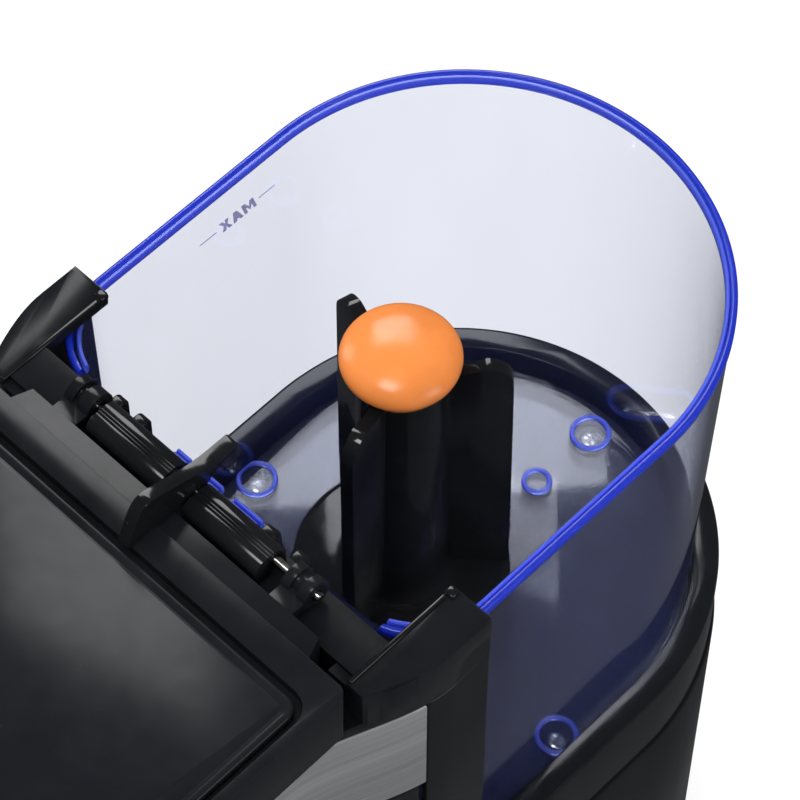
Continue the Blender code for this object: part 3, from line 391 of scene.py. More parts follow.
def tube(rows, name, mat):
    """Ring solid from (outer outline, inner outline, z) rows."""
    bm = bmesh.new()
    rings = []
    for outer, inner, z in rows:
        rings.append(([bm.verts.new(p) for p in lift(outer, z)], [bm.verts.new(p) for p in lift(inner, z)]))
    count = len(rows[0][0])
    for (o0, i0), (o1, i1) in zip(rings, rings[1:]):
        for i in range(count):
            j = (i + 1) % count
            bm.faces.new((o0[i], o0[j], o1[j], o1[i]))
            bm.faces.new((i0[j], i0[i], i1[i], i1[j]))
    for (o, n), up in ((rings[0], False), (rings[-1], True)):
        for i in range(count):
            j = (i + 1) % count
            quad = (o[i], o[j], n[j], n[i])
            bm.faces.new(quad if up else quad[::-1])
    return finish(bm, name, mat)


def lathe(profile, cy, name, mat, steps=96, cx=0.0):
    """Closed solid of revolution about the vertical through (cx, cy)."""
    bm = bmesh.new()
    rings = []
    for radius, z in profile:
        if radius < 1e-7:
            rings.append([bm.verts.new((cx, cy, z))] * steps)
            continue
        ring = []
        for i in range(steps):
            a = math.tau * i / steps
            ring.append(bm.verts.new((cx + radius * math.cos(a), cy + radius * math.sin(a), z)))
        rings.append(ring)
    count = len(rings)
    for k in range(count):
        one, two = rings[k], rings[(k + 1) % count]
        if one[0] is one[1] and two[0] is two[1]:
            continue
        for i in range(steps):
            j = (i + 1) % steps
            face = []
            for v in (one[i], one[j], two[j], two[i]):
                if v not in face:
                    face.append(v)
            bm.faces.new(face)
    return finish(bm, name, mat)


def block(x0, x1, y0, y1, z0, z1, name="tool", mat=None):
    """Plain block, used for joining and cutting."""
    return prism([(x0, y0), (x1, y0), (x1, y1), (x0, y1)], z0, z1, name, mat)


def rod(cx, cy, cz, radius, length, axis, name="tool", mat=None, steps=40):
    """Cylinder along +axis."""
    obj = prism(circle(0.0, 0.0, radius, steps), 0.0, length, name, mat)
    if axis == "X":
        obj.data.transform(Matrix.Rotation(math.pi / 2, 4, "Y"))
    if axis == "Y":
        obj.data.transform(Matrix.Rotation(-math.pi / 2, 4, "X"))
    obj.data.transform(Matrix.Translation((cx, cy, cz)))
    return obj


def turn(obj, axis, degrees, pivot):
    """Rotate a mesh about an axis through a pivot."""
    move = Matrix.Translation(Vector(pivot))
    obj.data.transform(move @ Matrix.Rotation(math.radians(degrees), 4, axis) @ move.inverted())
    return obj


def bake_modifiers(obj):
    """Replace the mesh by its evaluated form and drop the modifiers."""
    bpy.context.view_layer.update()
    graph = bpy.context.evaluated_depsgraph_get()
    mesh = bpy.data.meshes.new_from_object(obj.evaluated_get(graph))
    keep = obj.data.materials[0]
    obj.modifiers.clear()
    mesh.name = obj.name
    obj.data = mesh
    mesh.materials.clear()
    mesh.materials.append(keep)
    for poly in mesh.polygons:
        poly.material_index = 0
    return obj


def combine(obj, tools, operation):
    """EXACT booleans with throw-away tools."""
    for tool in tools:
        mod = obj.modifiers.new("shape", "BOOLEAN")
        mod.operation = operation
        mod.solver = "EXACT"
        mod.object = tool
    bake_modifiers(obj)
    for tool in tools:
        bpy.data.objects.remove(tool)
    return obj


def cut(obj, *tools):
    """Remove the tools from the object."""
    return combine(obj, tools, "DIFFERENCE")


def add(obj, *tools):
    """Weld the tools to the object."""
    return combine(obj, tools, "UNION")


def soften(obj, width=0.0006, segments=3, angle=32.0):
    """Rounded edges and smooth shading."""
    bevel = obj.modifiers.new("edges", "BEVEL")
    bevel.width = width
    bevel.segments = segments
    bevel.limit_method = "ANGLE"
    bevel.angle_limit = math.radians(angle)
    bevel.use_clamp_overlap = True
    bevel.harden_normals = False
    bake_modifiers(obj)
    return sharpen(obj, 38.0)


def place(obj, body, slot, *nodes):
    """Ride on a body and stand in for CAD nodes; the slot argument is not used."""
    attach(obj, body)
    if nodes:
        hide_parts(*nodes)
    return obj


def inset(outline, amount):
    """Offset a counter-clockwise outline inwards."""
    out = []
    count = len(outline)
    for i in range(count):
        a, b, c = Vector(outline[i - 1]), Vector(outline[i]), Vector(outline[(i + 1) % count])
        d0, d1 = (b - a).normalized(), (c - b).normalized()
        n0, n1 = Vector((-d0.y, d0.x)), Vector((-d1.y, d1.x))
        mid = (n0 + n1).normalized()
        out.append(tuple(b + mid * (amount / max(0.4, mid.dot(n0)))))
    return out


def curve_through(knots, steps):
    """Rounded path through (y, z) knots."""
    out = []
    count = len(knots)
    for i in range(count - 1):
        a, b, c, d = (Vector(knots[min(count - 1, max(0, i + k))]) for k in (-1, 0, 1, 2))
        for k in range(steps):
            t = k / steps
            point = b + (c - a) * 0.5 * t + (a * 2 - b * 5 + c * 4 - d) * 0.5 * t * t
            point += (b * 3 - a - c * 3 + d) * 0.5 * t * t * t
            out.append((point.x, point.y))
    return out + [knots[-1]]


def smooth_step(t):
    """Blend 0..1 with flat ends."""
    t = min(1.0, max(0.0, t))
    return t * t * (3.0 - 2.0 * t)


def body_half(y, grow=0.0):
    """Half width of tower and base at y."""
    if y < NOSE_Y:
        run = min(1.0, (NOSE_Y - y) / (NOSE_LEN + grow))
        return (TOWER_HALF + grow) * (1.0 - run ** NOSE_POW) ** (1.0 / NOSE_POW)
    blend = smooth_step((y - FLARE_Y0) / (FLARE_Y1 - FLARE_Y0))
    return TOWER_HALF + (REAR_HALF - TOWER_HALF) * blend + grow


def front_side(y_rear, grow, steps=28, nose=30):
    """Right edge of the body from y_rear to before the nose tip."""
    side = []
    for i in range(steps + 1):
        y = y_rear + (NOSE_Y - y_rear) * i / steps
        side.append((body_half(y, grow), y))
    for i in range(1, nose):
        a = math.radians(90.0 * i / nose)
        side.append(((TOWER_HALF + grow) * math.cos(a) ** (2.0 / NOSE_POW),
                     NOSE_Y - (NOSE_LEN + grow) * math.sin(a) ** (2.0 / NOSE_POW)))
    return side


def tower_outline(y_rear, grow):
    """Counter-clockwise plan of the tower."""
    side = front_side(y_rear, grow)
    return [(-x, y) for x, y in side] + [(0.0, NOSE_Y - NOSE_LEN - grow)] + side[::-1]


def base_outline(grow):
    """Counter-clockwise plan of the base."""
    more = grow + BASE_HALF - REAR_HALF
    side = front_side(CON_Y - 0.030, more)
    rear = arc(0.0, CON_Y, BASE_HALF + grow, 0.0, 180.0, 96)
    return [(-x, y) for x, y in side] + [(0.0, NOSE_Y - NOSE_LEN - more)] + side[::-1] + rear


def d_outline(half, y_front, corner, back=120, bend=16):
    """Counter-clockwise D with a straight front."""
    out = arc(-half + corner, y_front + corner, corner, 180.0, 270.0, bend)
    out += arc(half - corner, y_front + corner, corner, 270.0, 360.0, bend)
    out += arc(0.0, CON_Y, half, 0.0, 180.0, back)
    return out


def round_rect(half, y0, y1, r_front, r_back, steps=18):
    """Counter-clockwise rounded rectangle, symmetric in X."""
    out = arc(-half + r_front, y0 + r_front, r_front, 180.0, 270.0, steps)
    out += arc(half - r_front, y0 + r_front, r_front, 270.0, 360.0, steps)
    out += arc(half - r_back, y1 - r_back, r_back, 0.0, 90.0, steps)
    out += arc(-half + r_back, y1 - r_back, r_back, 90.0, 180.0, steps)
    return out


# ---------------------------------------------------------------- base
def make_base():
    """Lower housing with a rounded foot edge and a fine seam under the tray."""
    z0, z1 = BASE_LO.z, BASE_HI.z
    rows = []
    for z, out in ((z0, -0.0012), (z0 + 0.0008, -0.0004), (z0 + 0.0020, 0.0), (z1 - 0.0012, 0.0),
                   (z1 - 0.0004, -0.0004), (z1, -0.0011)):
        rows.append((base_outline(out), base_outline(-SHELL), z))
    shell = tube(rows, "base_shell", GLOSS)
    cut(shell, rod(0.0, NOSE_TIP - 0.010, KNOB_Z, KNOB_HOLE_R, 0.020, "Y"),
        rod(0.0, CORD_HOLE_Y, CORD_HOLE_Z, CORD_HOLE_R, 0.030, "Y"))
    sharpen(shell)
    place(shell, "base", "black_gloss", "base_housing")


def make_tray():
    """Ring ledge, tray floor, bosses, hub and dimple under the container."""
    z0, z1 = TRAY_LO.z, TRAY_HI.z
    y0 = WING_Y + 0.0025

    def u_loop(out, inn):
        """U-shaped plan of the ring wall."""
        loop = [(RING_HALF - out, y0)] + arc(0.0, CON_Y, RING_HALF - out, 0.0, 180.0, 120)
        loop += [(-RING_HALF + out, y0), (-TRAY_WALL_IN - inn, y0)]
        loop += arc(0.0, CON_Y, TRAY_WALL_IN + inn, 180.0, 0.0, 120) + [(TRAY_WALL_IN + inn, y0)]
        return loop

    levels = [lift(u_loop(0.0010, 0.0), z0), lift(u_loop(0.0, 0.0), z0 + 0.0010)]
    for k in range(5):
        a = math.radians(90.0 * k / 4)
        r = 0.0014
        levels.append(lift(u_loop(r * (1.0 - math.cos(a)), 0.6 * r * (1.0 - math.cos(a))),
                           z1 - r + r * math.sin(a)))
    ring = stack(levels, "tray_ring", GLOSS)
    sharpen(ring, 40.0)
    place(ring, "base", "black_gloss", "container_tray")

    floor_top = z1 - TRAY_DEPTH
    floor = prism(d_outline(0.0733, 0.0020, 0.0200), floor_top - 0.0038, floor_top, "tray_floor", TRAY_FLOOR)
    sharpen(floor)
    place(floor, "base", "black_gloss")
    hub = lathe([(0.0078, floor_top - 0.0080), (0.0455, floor_top - 0.0080), (0.0460, floor_top - 0.0075),
                 (0.0460, floor_top + 0.0022), (0.0452, floor_top + 0.0030), (0.0370, floor_top + 0.0030),
                 (0.0362, floor_top + 0.0022), (0.0350, floor_top + 0.0022), (0.0342, floor_top + 0.0030),
                 (0.0078, floor_top + 0.0030)], ROTOR_Y, "tray_hub", GLOSS, 128)
    sharpen(hub)
    place(hub, "base", "black_gloss")
    for node in SCREWS:
        cx, cy = middle(node)
        boss = lathe([(0.0034, floor_top - 0.0010), (0.0070, floor_top - 0.0010),
                      (0.0070, floor_top + 0.0022),
                      (0.0064, floor_top + 0.0030), (0.0046, floor_top + 0.0030),
                      (0.0040, floor_top + 0.0024),
                      (0.0034, floor_top + 0.0008)], cy, "boss_" + node, TRAY_FLOOR, 48, cx)
        sharpen(boss)
        place(boss, "base", "black_gloss")
        top = span(node)[1].z
        head = lathe([(0.0, top - 0.0160), (0.0016, top - 0.0160), (0.0016, top - 0.0020),
                      (0.0029, top - 0.0020),
                      (0.0030, top - 0.0012), (0.0026, top - 0.0004), (0.0016, top), (0.0, top)],
                     cy, "head_" + node, BRIGHT, 40, cx)
        cut(head, block(cx - 0.0019, cx + 0.0019, cy - 0.0003, cy + 0.0003, top - 0.0009, top + 0.001),
            block(cx - 0.0003, cx + 0.0003, cy - 0.0019, cy + 0.0019, top - 0.0009, top + 0.001))
        sharpen(head)
        place(head, "base", "steel_bright", node)
    dot = lathe([(0.0, floor_top - 0.001), (0.0050, floor_top - 0.001), (0.0050, floor_top + 0.0018),
                 (0.0042, floor_top + 0.0026), (0.0026, floor_top + 0.0022), (0.0, floor_top + 0.0016)],
                DIMPLE_Y, "tray_dimple", TRAY_FLOOR, 40)
    sharpen(dot)
    place(dot, "base", "black_gloss")


# ---------------------------------------------------------------- tower
def make_tower():
    """Motor tower with recess for the band and two rear wings."""
    z0, z1 = TOWER_LO.z, TOWER_HI.z
    recess = 0.0013
    rows = []
    for z, out in ((z0, -0.0010), (z0 + 0.0010, 0.0), (BAND_LO.z - 0.0010, 0.0),
                   (BAND_LO.z - 0.0003, -0.0005),
                   (BAND_LO.z - 0.0002, -recess), (z1, -recess)):
        rows.append((tower_outline(0.0, out), tower_outline(-SHELL, -SHELL), z))
    body = tube(rows, "tower_body", GLOSS)
    cut(body, block(-0.0155, 0.0155, NOSE_TIP - 0.02, NOSE_TIP + 0.01, 0.2055, 0.2395),
        block(-DOOR_HALF - 0.0002, DOOR_HALF + 0.0002, -0.010, 0.010, 0.2945, 0.3100))
    sharpen(body)
    place(body, "base", "black_gloss", "tower_housing")
    for side, label in ((-1.0, "left"), (1.0, "right")):
        outer, inner = [], []
        y0 = BAND_HI.y + 0.0005
        for i in range(25):
            y = y0 + (WING_Y - y0) * i / 24
            outer.append((side * body_half(y), y))
            inner.append((side * (body_half(y) - 0.0026), y))
        loop = outer + inner[::-1]
        if side < 0:
            loop = loop[::-1]
        wing = prism(loop, z0 + 0.0003, z1, "tower_wing_" + label, GLOSS)
        soften(wing, 0.0005, 3, 60.0)
        place(wing, "base", "black_gloss")
    deck = prism(tower_outline(-0.0035, -0.0034), 0.1840, 0.1880, "tower_deck", MATT)
    cut(deck, rod(0.0, DRIVE_Y, 0.170, 0.0112, 0.030, "Z"))
    place(deck, "base", "black_gloss")


def make_band():
    """Brushed steel band with a bright rolled top edge."""
    y_rear = BAND_HI.y

    def edge(grow):
        """Plan edge of the band, right rear to left rear."""
        pts = front_side(y_rear, grow, 32, 30)
        return pts + [(0.0, NOSE_Y - NOSE_LEN - grow)] + [(-x, y) for x, y in pts[::-1]]

    def ring(out):
        """Closed strip outline with its outer face moved by out."""
        return (edge(out) + edge(-0.0011)[::-1])[::-1]

    z0, z1 = BAND_LO.z, BAND_HI.z
    band = stack([lift(ring(-0.0004), z0), lift(ring(0.0), z0 + 0.0004), lift(ring(0.0), z1 - 0.0007),
                  lift(ring(-0.0002), z1 - 0.0002), lift(ring(-0.0006), z1)], "steel_band_skin", BAND)
    sharpen(band, 60.0)
    place(band, "base", "steel_brushed", "steel_band")


# ---------------------------------------------------------------- top frame
def make_top_frame():
    """Ears, shoulders, crossbar and the deck under the lid."""
    z0, ear = TOP_LO.z, TOP_HI.z
    top = prism(tower_outline(-0.0040, 0.0), z0, DECK_TOP, "ear_frame", SATIN)
    parts = [block(-0.0700, 0.0700, BAR_FRONT, BAR_REAR, z0 + 0.0012, ear)]
    for s in (-1.0, 1.0):
        outer = []
        for i in range(29):
            y = WING_Y + (EAR_FRONT - WING_Y) * i / 28
            outer.append((s * body_half(y), y))
        loop = [(s * EAR_IN, EAR_FRONT), (s * EAR_IN, WING_Y - 0.0008), (s * 0.0673, WING_Y)] + outer
        skirt = outer + [(x - s * 0.0024, y) for x, y in outer[::-1]]
        shoulder = [(s * 0.0600, EAR_FRONT), (s * 0.0715, EAR_FRONT), (s * 0.0760, -0.0085),
                    (s * 0.0785, -0.0005), (s * 0.0600, -0.0005)]
        if s > 0:
            loop, skirt = loop[::-1], skirt[::-1]
        else:
            shoulder = shoulder[::-1]
        parts.append(prism(loop, 0.3178, ear))
        parts.append(prism(skirt, z0, 0.3190))
        parts.append(prism(shoulder, z0 + 0.0012, ear - 0.0015))
    add(top, *parts)
    cut(top, prism(circle(0.0, DRIVE_Y, FEED_R, 96), 0.290, 0.330),
        block(-DOOR_HALF, DOOR_HALF, -0.030, 0.010, 0.295, 0.3112))
    soften(top, 0.0007, 3, 34.0)
    place(top, "cover", "black_satin", "top_frame")

    for s, label in ((-1.0, "left"), (1.0, "right")):
        x0, x1 = sorted((s * 0.0663, s * 0.0679))
        bar = block(x0, x1, -0.0150, 0.0212, ear - 0.0005, ear + 0.0007, "ear_lip_" + label, GLOSS)
        soften(bar, 0.0005, 3, 40.0)
        place(bar, "cover", "black_gloss")
        x0, x1 = sorted((s * 0.0660, s * 0.0694))
        tab = block(x0, x1, 0.0216, 0.0246, ear - 0.0008, ear + 0.0010, "ear_tab_" + label, GLOSS)
        soften(tab, 0.0006, 3, 40.0)
        place(tab, "cover", "black_gloss")

    shelf = CON_HI.z - 0.0036
    for label, x0, x1 in (("outer", -0.0412, -0.0375), ("left", -0.0325, -0.0285), ("mid", 0.0175, 0.0220),
                          ("right", 0.0290, 0.0330)):
        prof = [(0.0002, shelf), (0.0052, shelf)]
        prof += arc(0.0030, ear - 0.0022, 0.0022, 0, 90, 10) + [(0.0002, ear)]
        rib = side_prism(prof, x0, x1, "crossbar_rib_" + label, GLOSS)
        soften(rib, 0.0005, 3, 40.0)
        place(rib, "cover", "black_gloss")


def make_hinge():
    """Two glossy barrel covers with fine ridges, and the bright pin."""
    r, bore, front = BARREL_R, BARREL_BORE, BARREL_FRONT
    for node in ("hinge_barrel_left", "hinge_barrel_right"):
        lo, hi = span(node)
        crest = HINGE_Z + r
        prof = [(HINGE_Y + r, lo.z)] + arc(HINGE_Y, HINGE_Z, r, 0, 90, 14)
        for k in range(3):
            y = HINGE_Y - 0.0007 - 0.0010 * k
            prof += [(y + 0.00022, crest), (y, crest - 0.00035), (y - 0.00022, crest)]
        prof += arc(front, HINGE_Z, r, 90, 180, 18)
        prof += [(front - r, lo.z), (HINGE_Y - bore, lo.z)] + arc(HINGE_Y, HINGE_Z, bore, 180, 0, 16)
        prof += [(HINGE_Y + bore, lo.z)]
        cover = side_prism(prof, lo.x, hi.x, node + "_gloss", GLOSS)
        soften(cover, 0.00025, 2, 50.0)
        place(cover, "cover", "black_gloss", node)
    pin = rod(PIN_LO.x, HINGE_Y, HINGE_Z, PIN_R, PIN_HI.x - PIN_LO.x, "X", "hinge_pin_bright", BRIGHT, 40)
    soften(pin, 0.0004, 3, 50.0)
    place(pin, "cover", "steel_bright", "hinge_pin")


# ---------------------------------------------------------------- lid
def make_lid():
    """Lid shell with double groove, rear strip and hinge collars."""
    half, front = LID_HI.x, LID_LO.y
    low, top = LID_LO.z, PANEL_HI.z - 0.0002
    lid = prism(round_rect(half, front, -0.0200, 0.0260, 0.0030), low, top, "lid_shell", SATIN)
    strip = prism([(-0.0580, -0.0260), (0.0580, -0.0260), (0.0580, -0.0215), (0.0550, -0.0135),
                   (-0.0550, -0.0135), (-0.0580, -0.0215)], low + 0.0010, top - 0.0012)
    add(lid, strip)
    panel_half, panel_back = PANEL_HI.x, PANEL_HI.y
    cut(lid, prism(round_rect(half - SHELL, front + SHELL, -0.0230, 0.0232, 0.0030), low - 0.01,
                   top - 0.0065),
        block(-0.0520, 0.0520, -0.0260, -0.0160, low - 0.01, top - 0.0065),
        prism(round_rect(panel_half + 0.0022, front + 0.0034, panel_back + 0.0022, 0.0226, 0.0070),
              top - 0.0033, 0.34),
        block(-0.0130, 0.0130, front - 0.01, front + 0.007, 0.3120, 0.3225))
    for x0, inner, outer, x1 in COLLARS:
        rings = [rod(x0 + 0.0004, HINGE_Y, HINGE_Z, NECK_R, x1 - x0 - 0.0008, "X"),
                 block(x0 + 0.0002, x1 - 0.0002, -0.0150, HINGE_Y, HINGE_Z - 0.0022, HINGE_Z + 0.0012)]
        for a, b in ((x0, inner), (outer, x1)):
            rings.append(rod(a, HINGE_Y, HINGE_Z, COLLAR_R, b - a, "X", steps=64))
        add(lid, *rings)
    cut(lid, rod(-0.0500, HINGE_Y, HINGE_Z, PIN_R + PIN_GAP, 0.1000, "X"))
    soften(lid, 0.0006, 3, 34.0)
    place(lid, "lid", "black_satin", "lid_frame")

    outline = round_rect(panel_half, PANEL_LO.y, panel_back, 0.0204, 0.0050)
    base_z, top_z = PANEL_LO.z, PANEL_HI.z
    levels = [lift(outline, base_z), lift(outline, top_z - 0.0012)]
    for k in range(1, 5):
        a = math.radians(90.0 * k / 4)
        levels.append(lift(inset(outline, 0.0010 * (1.0 - math.cos(a))),
                           top_z - 0.0012 + 0.0010 * math.sin(a)))
    levels.append(lift(inset(outline, 0.0026), top_z - 0.0002))
    levels.append(lift(inset(outline, 0.0030), top_z - 0.0005))
    levels.append(lift(inset(outline, 0.0034), top_z - 0.0005))
    levels.append(lift(inset(outline, 0.0038), top_z - 0.0003))
    panel = stack(levels, "lid_panel_raised", SATIN_PANEL)
    sharpen(panel, 50.0)
    place(panel, "lid", "black_satin", "lid_panel")


def make_arm():
    """Curved stop arm in the middle of the hinge side."""
    low = [(-0.0300, 0.3301), (-0.0200, 0.3301), (-0.0192, 0.3291), (-0.0105, 0.3291)]
    low += arc(HINGE_Y, HINGE_Z, 0.0023, 150, 30, 10)
    low += [(HINGE_Y + 0.0040, 0.3302), (0.0020, 0.3322), (0.0062, 0.3335), (0.0095, 0.3332)]
    knots = [(0.0105, 0.3350), (0.0100, 0.3364), (0.0086, 0.3369), (0.0033, 0.3370), (-0.0012, 0.3373),
             (-0.0060, 0.3384), (-0.0104, 0.3399), (-0.0140, 0.3412), (-0.0178, 0.3426), (-0.0205, 0.3433),
             (-0.0222, 0.3434), (-0.0240, 0.3426), (-0.0256, 0.3409), (-0.0270, 0.3384), (-0.0284, 0.3352),
             (-0.0294, 0.3330), (-0.0302, 0.3310), (-0.0305, 0.3300)]
    high = [(y, min(z, ARM_HI.z - 0.00005)) for y, z in curve_through(knots, 4)]
    arm = side_prism((low + high)[::-1], ARM_LO.x, ARM_HI.x, "lid_stop_arm", GLOSS)
    cut(arm, block(-0.0100, 0.0100, PANEL_HI.y - 0.010, PANEL_HI.y + 0.0030, 0.3200, PANEL_HI.z + 0.0002))
    soften(arm, 0.0006, 3, 40.0)
    place(arm, "lid", "black_gloss", "lid_arm")


# ---------------------------------------------------------------- container
def make_container():
    """Clear wall and floor, double rim bead, rings on the floor and the fill mark."""
    z0, rim = CON_LO.z, CON_HI.z
    out_top, out_low = CON_HALF - 0.0012, CON_HALF - 0.0042
    thick = 0.0020

    def row(z, half, thickness):
        """One level of the wall."""
        front = CON_FRONT + CON_HALF - half
        inside = d_outline(half - thickness, front + thickness, CON_CORNER - thickness)
        return d_outline(half, front, CON_CORNER), inside, z

    rows = [row(z0 + 0.0004, out_low - 0.0008, thick), row(z0 + 0.0012, out_low - 0.0001, thick)]
    for k in range(13):
        t = k / 12
        z = z0 + 0.0020 + (rim - 0.0040 - z0 - 0.0020) * t
        rows.append(row(z, out_low + (out_top - out_low) * t, thick))
    wall = tube(rows, "container_wall", CLEAR)
    floor_plan = d_outline(out_low - 0.0008, CON_FRONT + CON_HALF - out_low + 0.0008, 0.0240)
    floor = prism(floor_plan, z0, z0 + FLOOR_THICK)
    chimney = rod(0.0, ROTOR_Y, z0 + 0.0010, 0.0085, 0.0145, "Z", steps=48)
    add(wall, floor, chimney)
    cut(wall, rod(0.0, ROTOR_Y, z0 - 0.005, 0.0065, 0.030, "Z", steps=48),
        block(-0.0290, 0.0290, -0.005, 0.010, 0.2975, 0.3105))
    low_front = rim - 0.0042

    def front_cuts():
        """Blocks that lower the front edge between the blue tabs."""
        return [block(a, b, CON_FRONT - 0.004, CON_FRONT + 0.010, low_front, rim + 0.004)
                for a, b in FRONT_GAPS]

    cut(wall, *front_cuts())
    sharpen(wall, 40.0)
    place(wall, "container", "blue_clear", "pulp_container")

    outer = [row(rim - drop, half, thickness) for drop, half, thickness in
             ((0.0038, out_top, 0.0012), (0.0034, out_top + 0.0004, 0.0017),
              (0.0029, out_top + 0.0007, 0.0020),
              (0.0009, out_top + 0.0007, 0.0020), (0.0004, out_top + 0.0005, 0.0017),
              (0.0001, out_top + 0.0002, 0.0012),
              (0.0, out_top - 0.0001, 0.0007))]
    bead = tube(outer, "container_rim_bead", CLEAR_RIM)
    inner = [row(rim - drop, half, thickness) for drop, half, thickness in
             ((0.0036, out_top - 0.0015, 0.0010), (0.0030, out_top - 0.0015, 0.0013),
              (0.0011, out_top - 0.0015, 0.0013),
              (0.0006, out_top - 0.0016, 0.0011), (0.0003, out_top - 0.0018, 0.0007))]
    lip = tube(inner, "container_rim_lip", CLEAR_LIP)
    for ring in (bead, lip):
        cut(ring, *front_cuts())
        sharpen(ring, 40.0)
        place(ring, "container", "blue_clear")

    floor_top = z0 + FLOOR_THICK
    spots = [(*middle(node), BOSS_R) for node in SCREWS]
    spots.append((0.0, DIMPLE_Y, DIMPLE_R))
    for k, (cx, cy, r) in enumerate(spots):
        ring = lathe([(r - 0.0016, floor_top + 0.0001), (r, floor_top + 0.0001),
                      (r - 0.0001, floor_top + 0.0008),
                      (r - 0.0005, floor_top + 0.0012), (r - 0.0011, floor_top + 0.0012),
                      (r - 0.0015, floor_top + 0.0008)], cy, "container_floor_ring_%d" % k, CLEAR_LIP, 48, cx)
        sharpen(ring, 50.0)
        place(ring, "container", "blue_clear")

    wall_x = -(out_top - (out_top - out_low) * 0.14) - 0.00006
    make_fill_mark(wall_x, rim - 0.0232)


def make_fill_mark(wall_x, low):
    """Printed MAX between two dashes on the outside of the left wall."""
    tall, lean = 0.0053, math.tan(math.radians(15.0))

    def glyph(label, left, outline):
        """Flat letter from (across, up) points; across runs toward -Y."""
        prof = [(left - u - v * lean, low + v) for u, v in outline]
        letter = side_prism(prof[::-1], wall_x - 0.00006, wall_x + 0.00002, "fill_mark_" + label, PRINT)
        place(letter, "container", "blue_clear")

    wide, slim, t = 0.0048, 0.0040, 0.0012
    glyph("m", 0.0886, [(0.0, 0.0), (t, 0.0), (t, 0.58 * tall), (wide / 2, 0.08 * tall),
                        (wide - t, 0.58 * tall),
                        (wide - t, 0.0), (wide, 0.0), (wide, tall), (wide - 1.15 * t, tall),
                        (wide / 2, 0.48 * tall), (1.15 * t, tall), (0.0, tall)])
    glyph("a", 0.0832, [(0.0, 0.0), (t, 0.0), (1.45 * t, 0.20 * tall), (slim - 1.45 * t, 0.20 * tall),
                        (slim - t, 0.0), (slim, 0.0), (slim / 2 + 0.62 * t, tall),
                        (slim / 2 - 0.62 * t, tall)])
    glyph("x", 0.0787, [(0.0, 0.0), (1.2 * t, 0.0), (slim / 2, 0.34 * tall), (slim - 1.2 * t, 0.0),
                        (slim, 0.0),
                        (slim / 2 + 0.65 * t, 0.5 * tall), (slim, tall), (slim - 1.2 * t, tall),
                        (slim / 2, 0.66 * tall), (1.2 * t, tall), (0.0, tall),
                        (slim / 2 - 0.65 * t, 0.5 * tall)])
    for label, y0, y1 in (("front", 0.0656, 0.0723), ("rear", 0.0895, 0.0960)):
        dash = block(wall_x - 0.00006, wall_x + 0.00002, y0, y1, low + 0.0024, low + 0.0029,
                     "fill_mark_dash_" + label, PRINT)
        place(dash, "container", "blue_clear")


# ---------------------------------------------------------------- rotor
def make_rotor():
    """Finned leveller on a drum base, with the orange cap."""
    z0 = ROTOR_LO.z
    drum_top = z0 + 0.0286
    cap_z = CAP_HI.z - CAP_RISE
    fin_top = ROTOR_HI.z
    body = lathe([(DRUM_R - 0.0030, z0), (DRUM_R - 0.0003, z0), (DRUM_R, z0 + 0.0006),
                  (DRUM_R, drum_top - 0.0030),
                  (DRUM_R - 0.0003, drum_top - 0.0017), (DRUM_R - 0.0012, drum_top - 0.0006),
                  (DRUM_R - 0.0026, drum_top), (0.0205, drum_top + 0.0003), (0.0172, drum_top + 0.0010),
                  (0.0158, drum_top + 0.0030), (0.0152, drum_top + 0.0070), (0.0125, cap_z - 0.0062),
                  (0.0050, cap_z - 0.0062), (0.0050, cap_z - 0.0140), (0.0, cap_z - 0.0140),
                  (0.0, z0 + 0.0246),
                  (0.0044, z0 + 0.0246), (0.0044, z0 + 0.0148), (0.0075, z0 + 0.0148),
                  (0.0080, drum_top - 0.0034),
                  (DRUM_R - 0.0030, drum_top - 0.0044)], ROTOR_Y, "leveller_body", GLOSS_ROTOR, 128)
    fins = []
    for k in range(3):
        prof = [(0.0090, drum_top - 0.0010), (FIN_R - 0.0002, drum_top - 0.0010), (FIN_R, drum_top + 0.0200),
                (FIN_R - 0.0009, fin_top - 0.0085)]
        for i in range(1, 11):
            a = math.radians(90.0 * i / 10)
            prof.append((FIN_R - 0.0009 - 0.0075 * (1.0 - math.cos(a)),
                         fin_top - 0.0085 + 0.0085 * math.sin(a)))
        for i in range(1, 9):
            t = i / 8
            prof.append((FIN_R - 0.0084 - (FIN_R - 0.0084 - 0.0105) * t,
                         fin_top - 0.0034 * math.sin(math.pi * 0.5 * t)))
        prof.append((0.0090, fin_top - 0.0080))
        fin = stack([[(r, ROTOR_Y - 0.0020, z) for r, z in prof],
                     [(r, ROTOR_Y + 0.0020, z) for r, z in prof]],
                    "tool", GLOSS_ROTOR)
        fins.append(turn(fin, "Z", FIN_TURN + 120.0 * k, (0.0, ROTOR_Y, 0.0)))
    add(body, *fins)
    soften(body, 0.0007, 3, 40.0)
    place(body, "leveller", "black_gloss", "leveller_rotor")

    cap_r = CAP_HI.x
    prof = [(0.0, cap_z - 0.0135), (0.0044, cap_z - 0.0135), (0.0044, cap_z - 0.0058),
            (0.0150, cap_z - 0.0058),
            (cap_r - 0.0012, cap_z - 0.0030), (cap_r - 0.0002, cap_z - 0.0014), (cap_r, cap_z - 0.0004)]
    for i in range(24):
        a = math.radians(90.0 * i / 24)
        prof.append((cap_r * math.cos(a) ** 0.96, cap_z + CAP_RISE * math.sin(a)))
    prof.append((0.0, cap_z + CAP_RISE))
    cap = lathe(prof, ROTOR_Y, "leveller_cap_dome", ORANGE, 128)
    sharpen(cap, 40.0)
    place(cap, "cap", "orange", "leveller_cap")


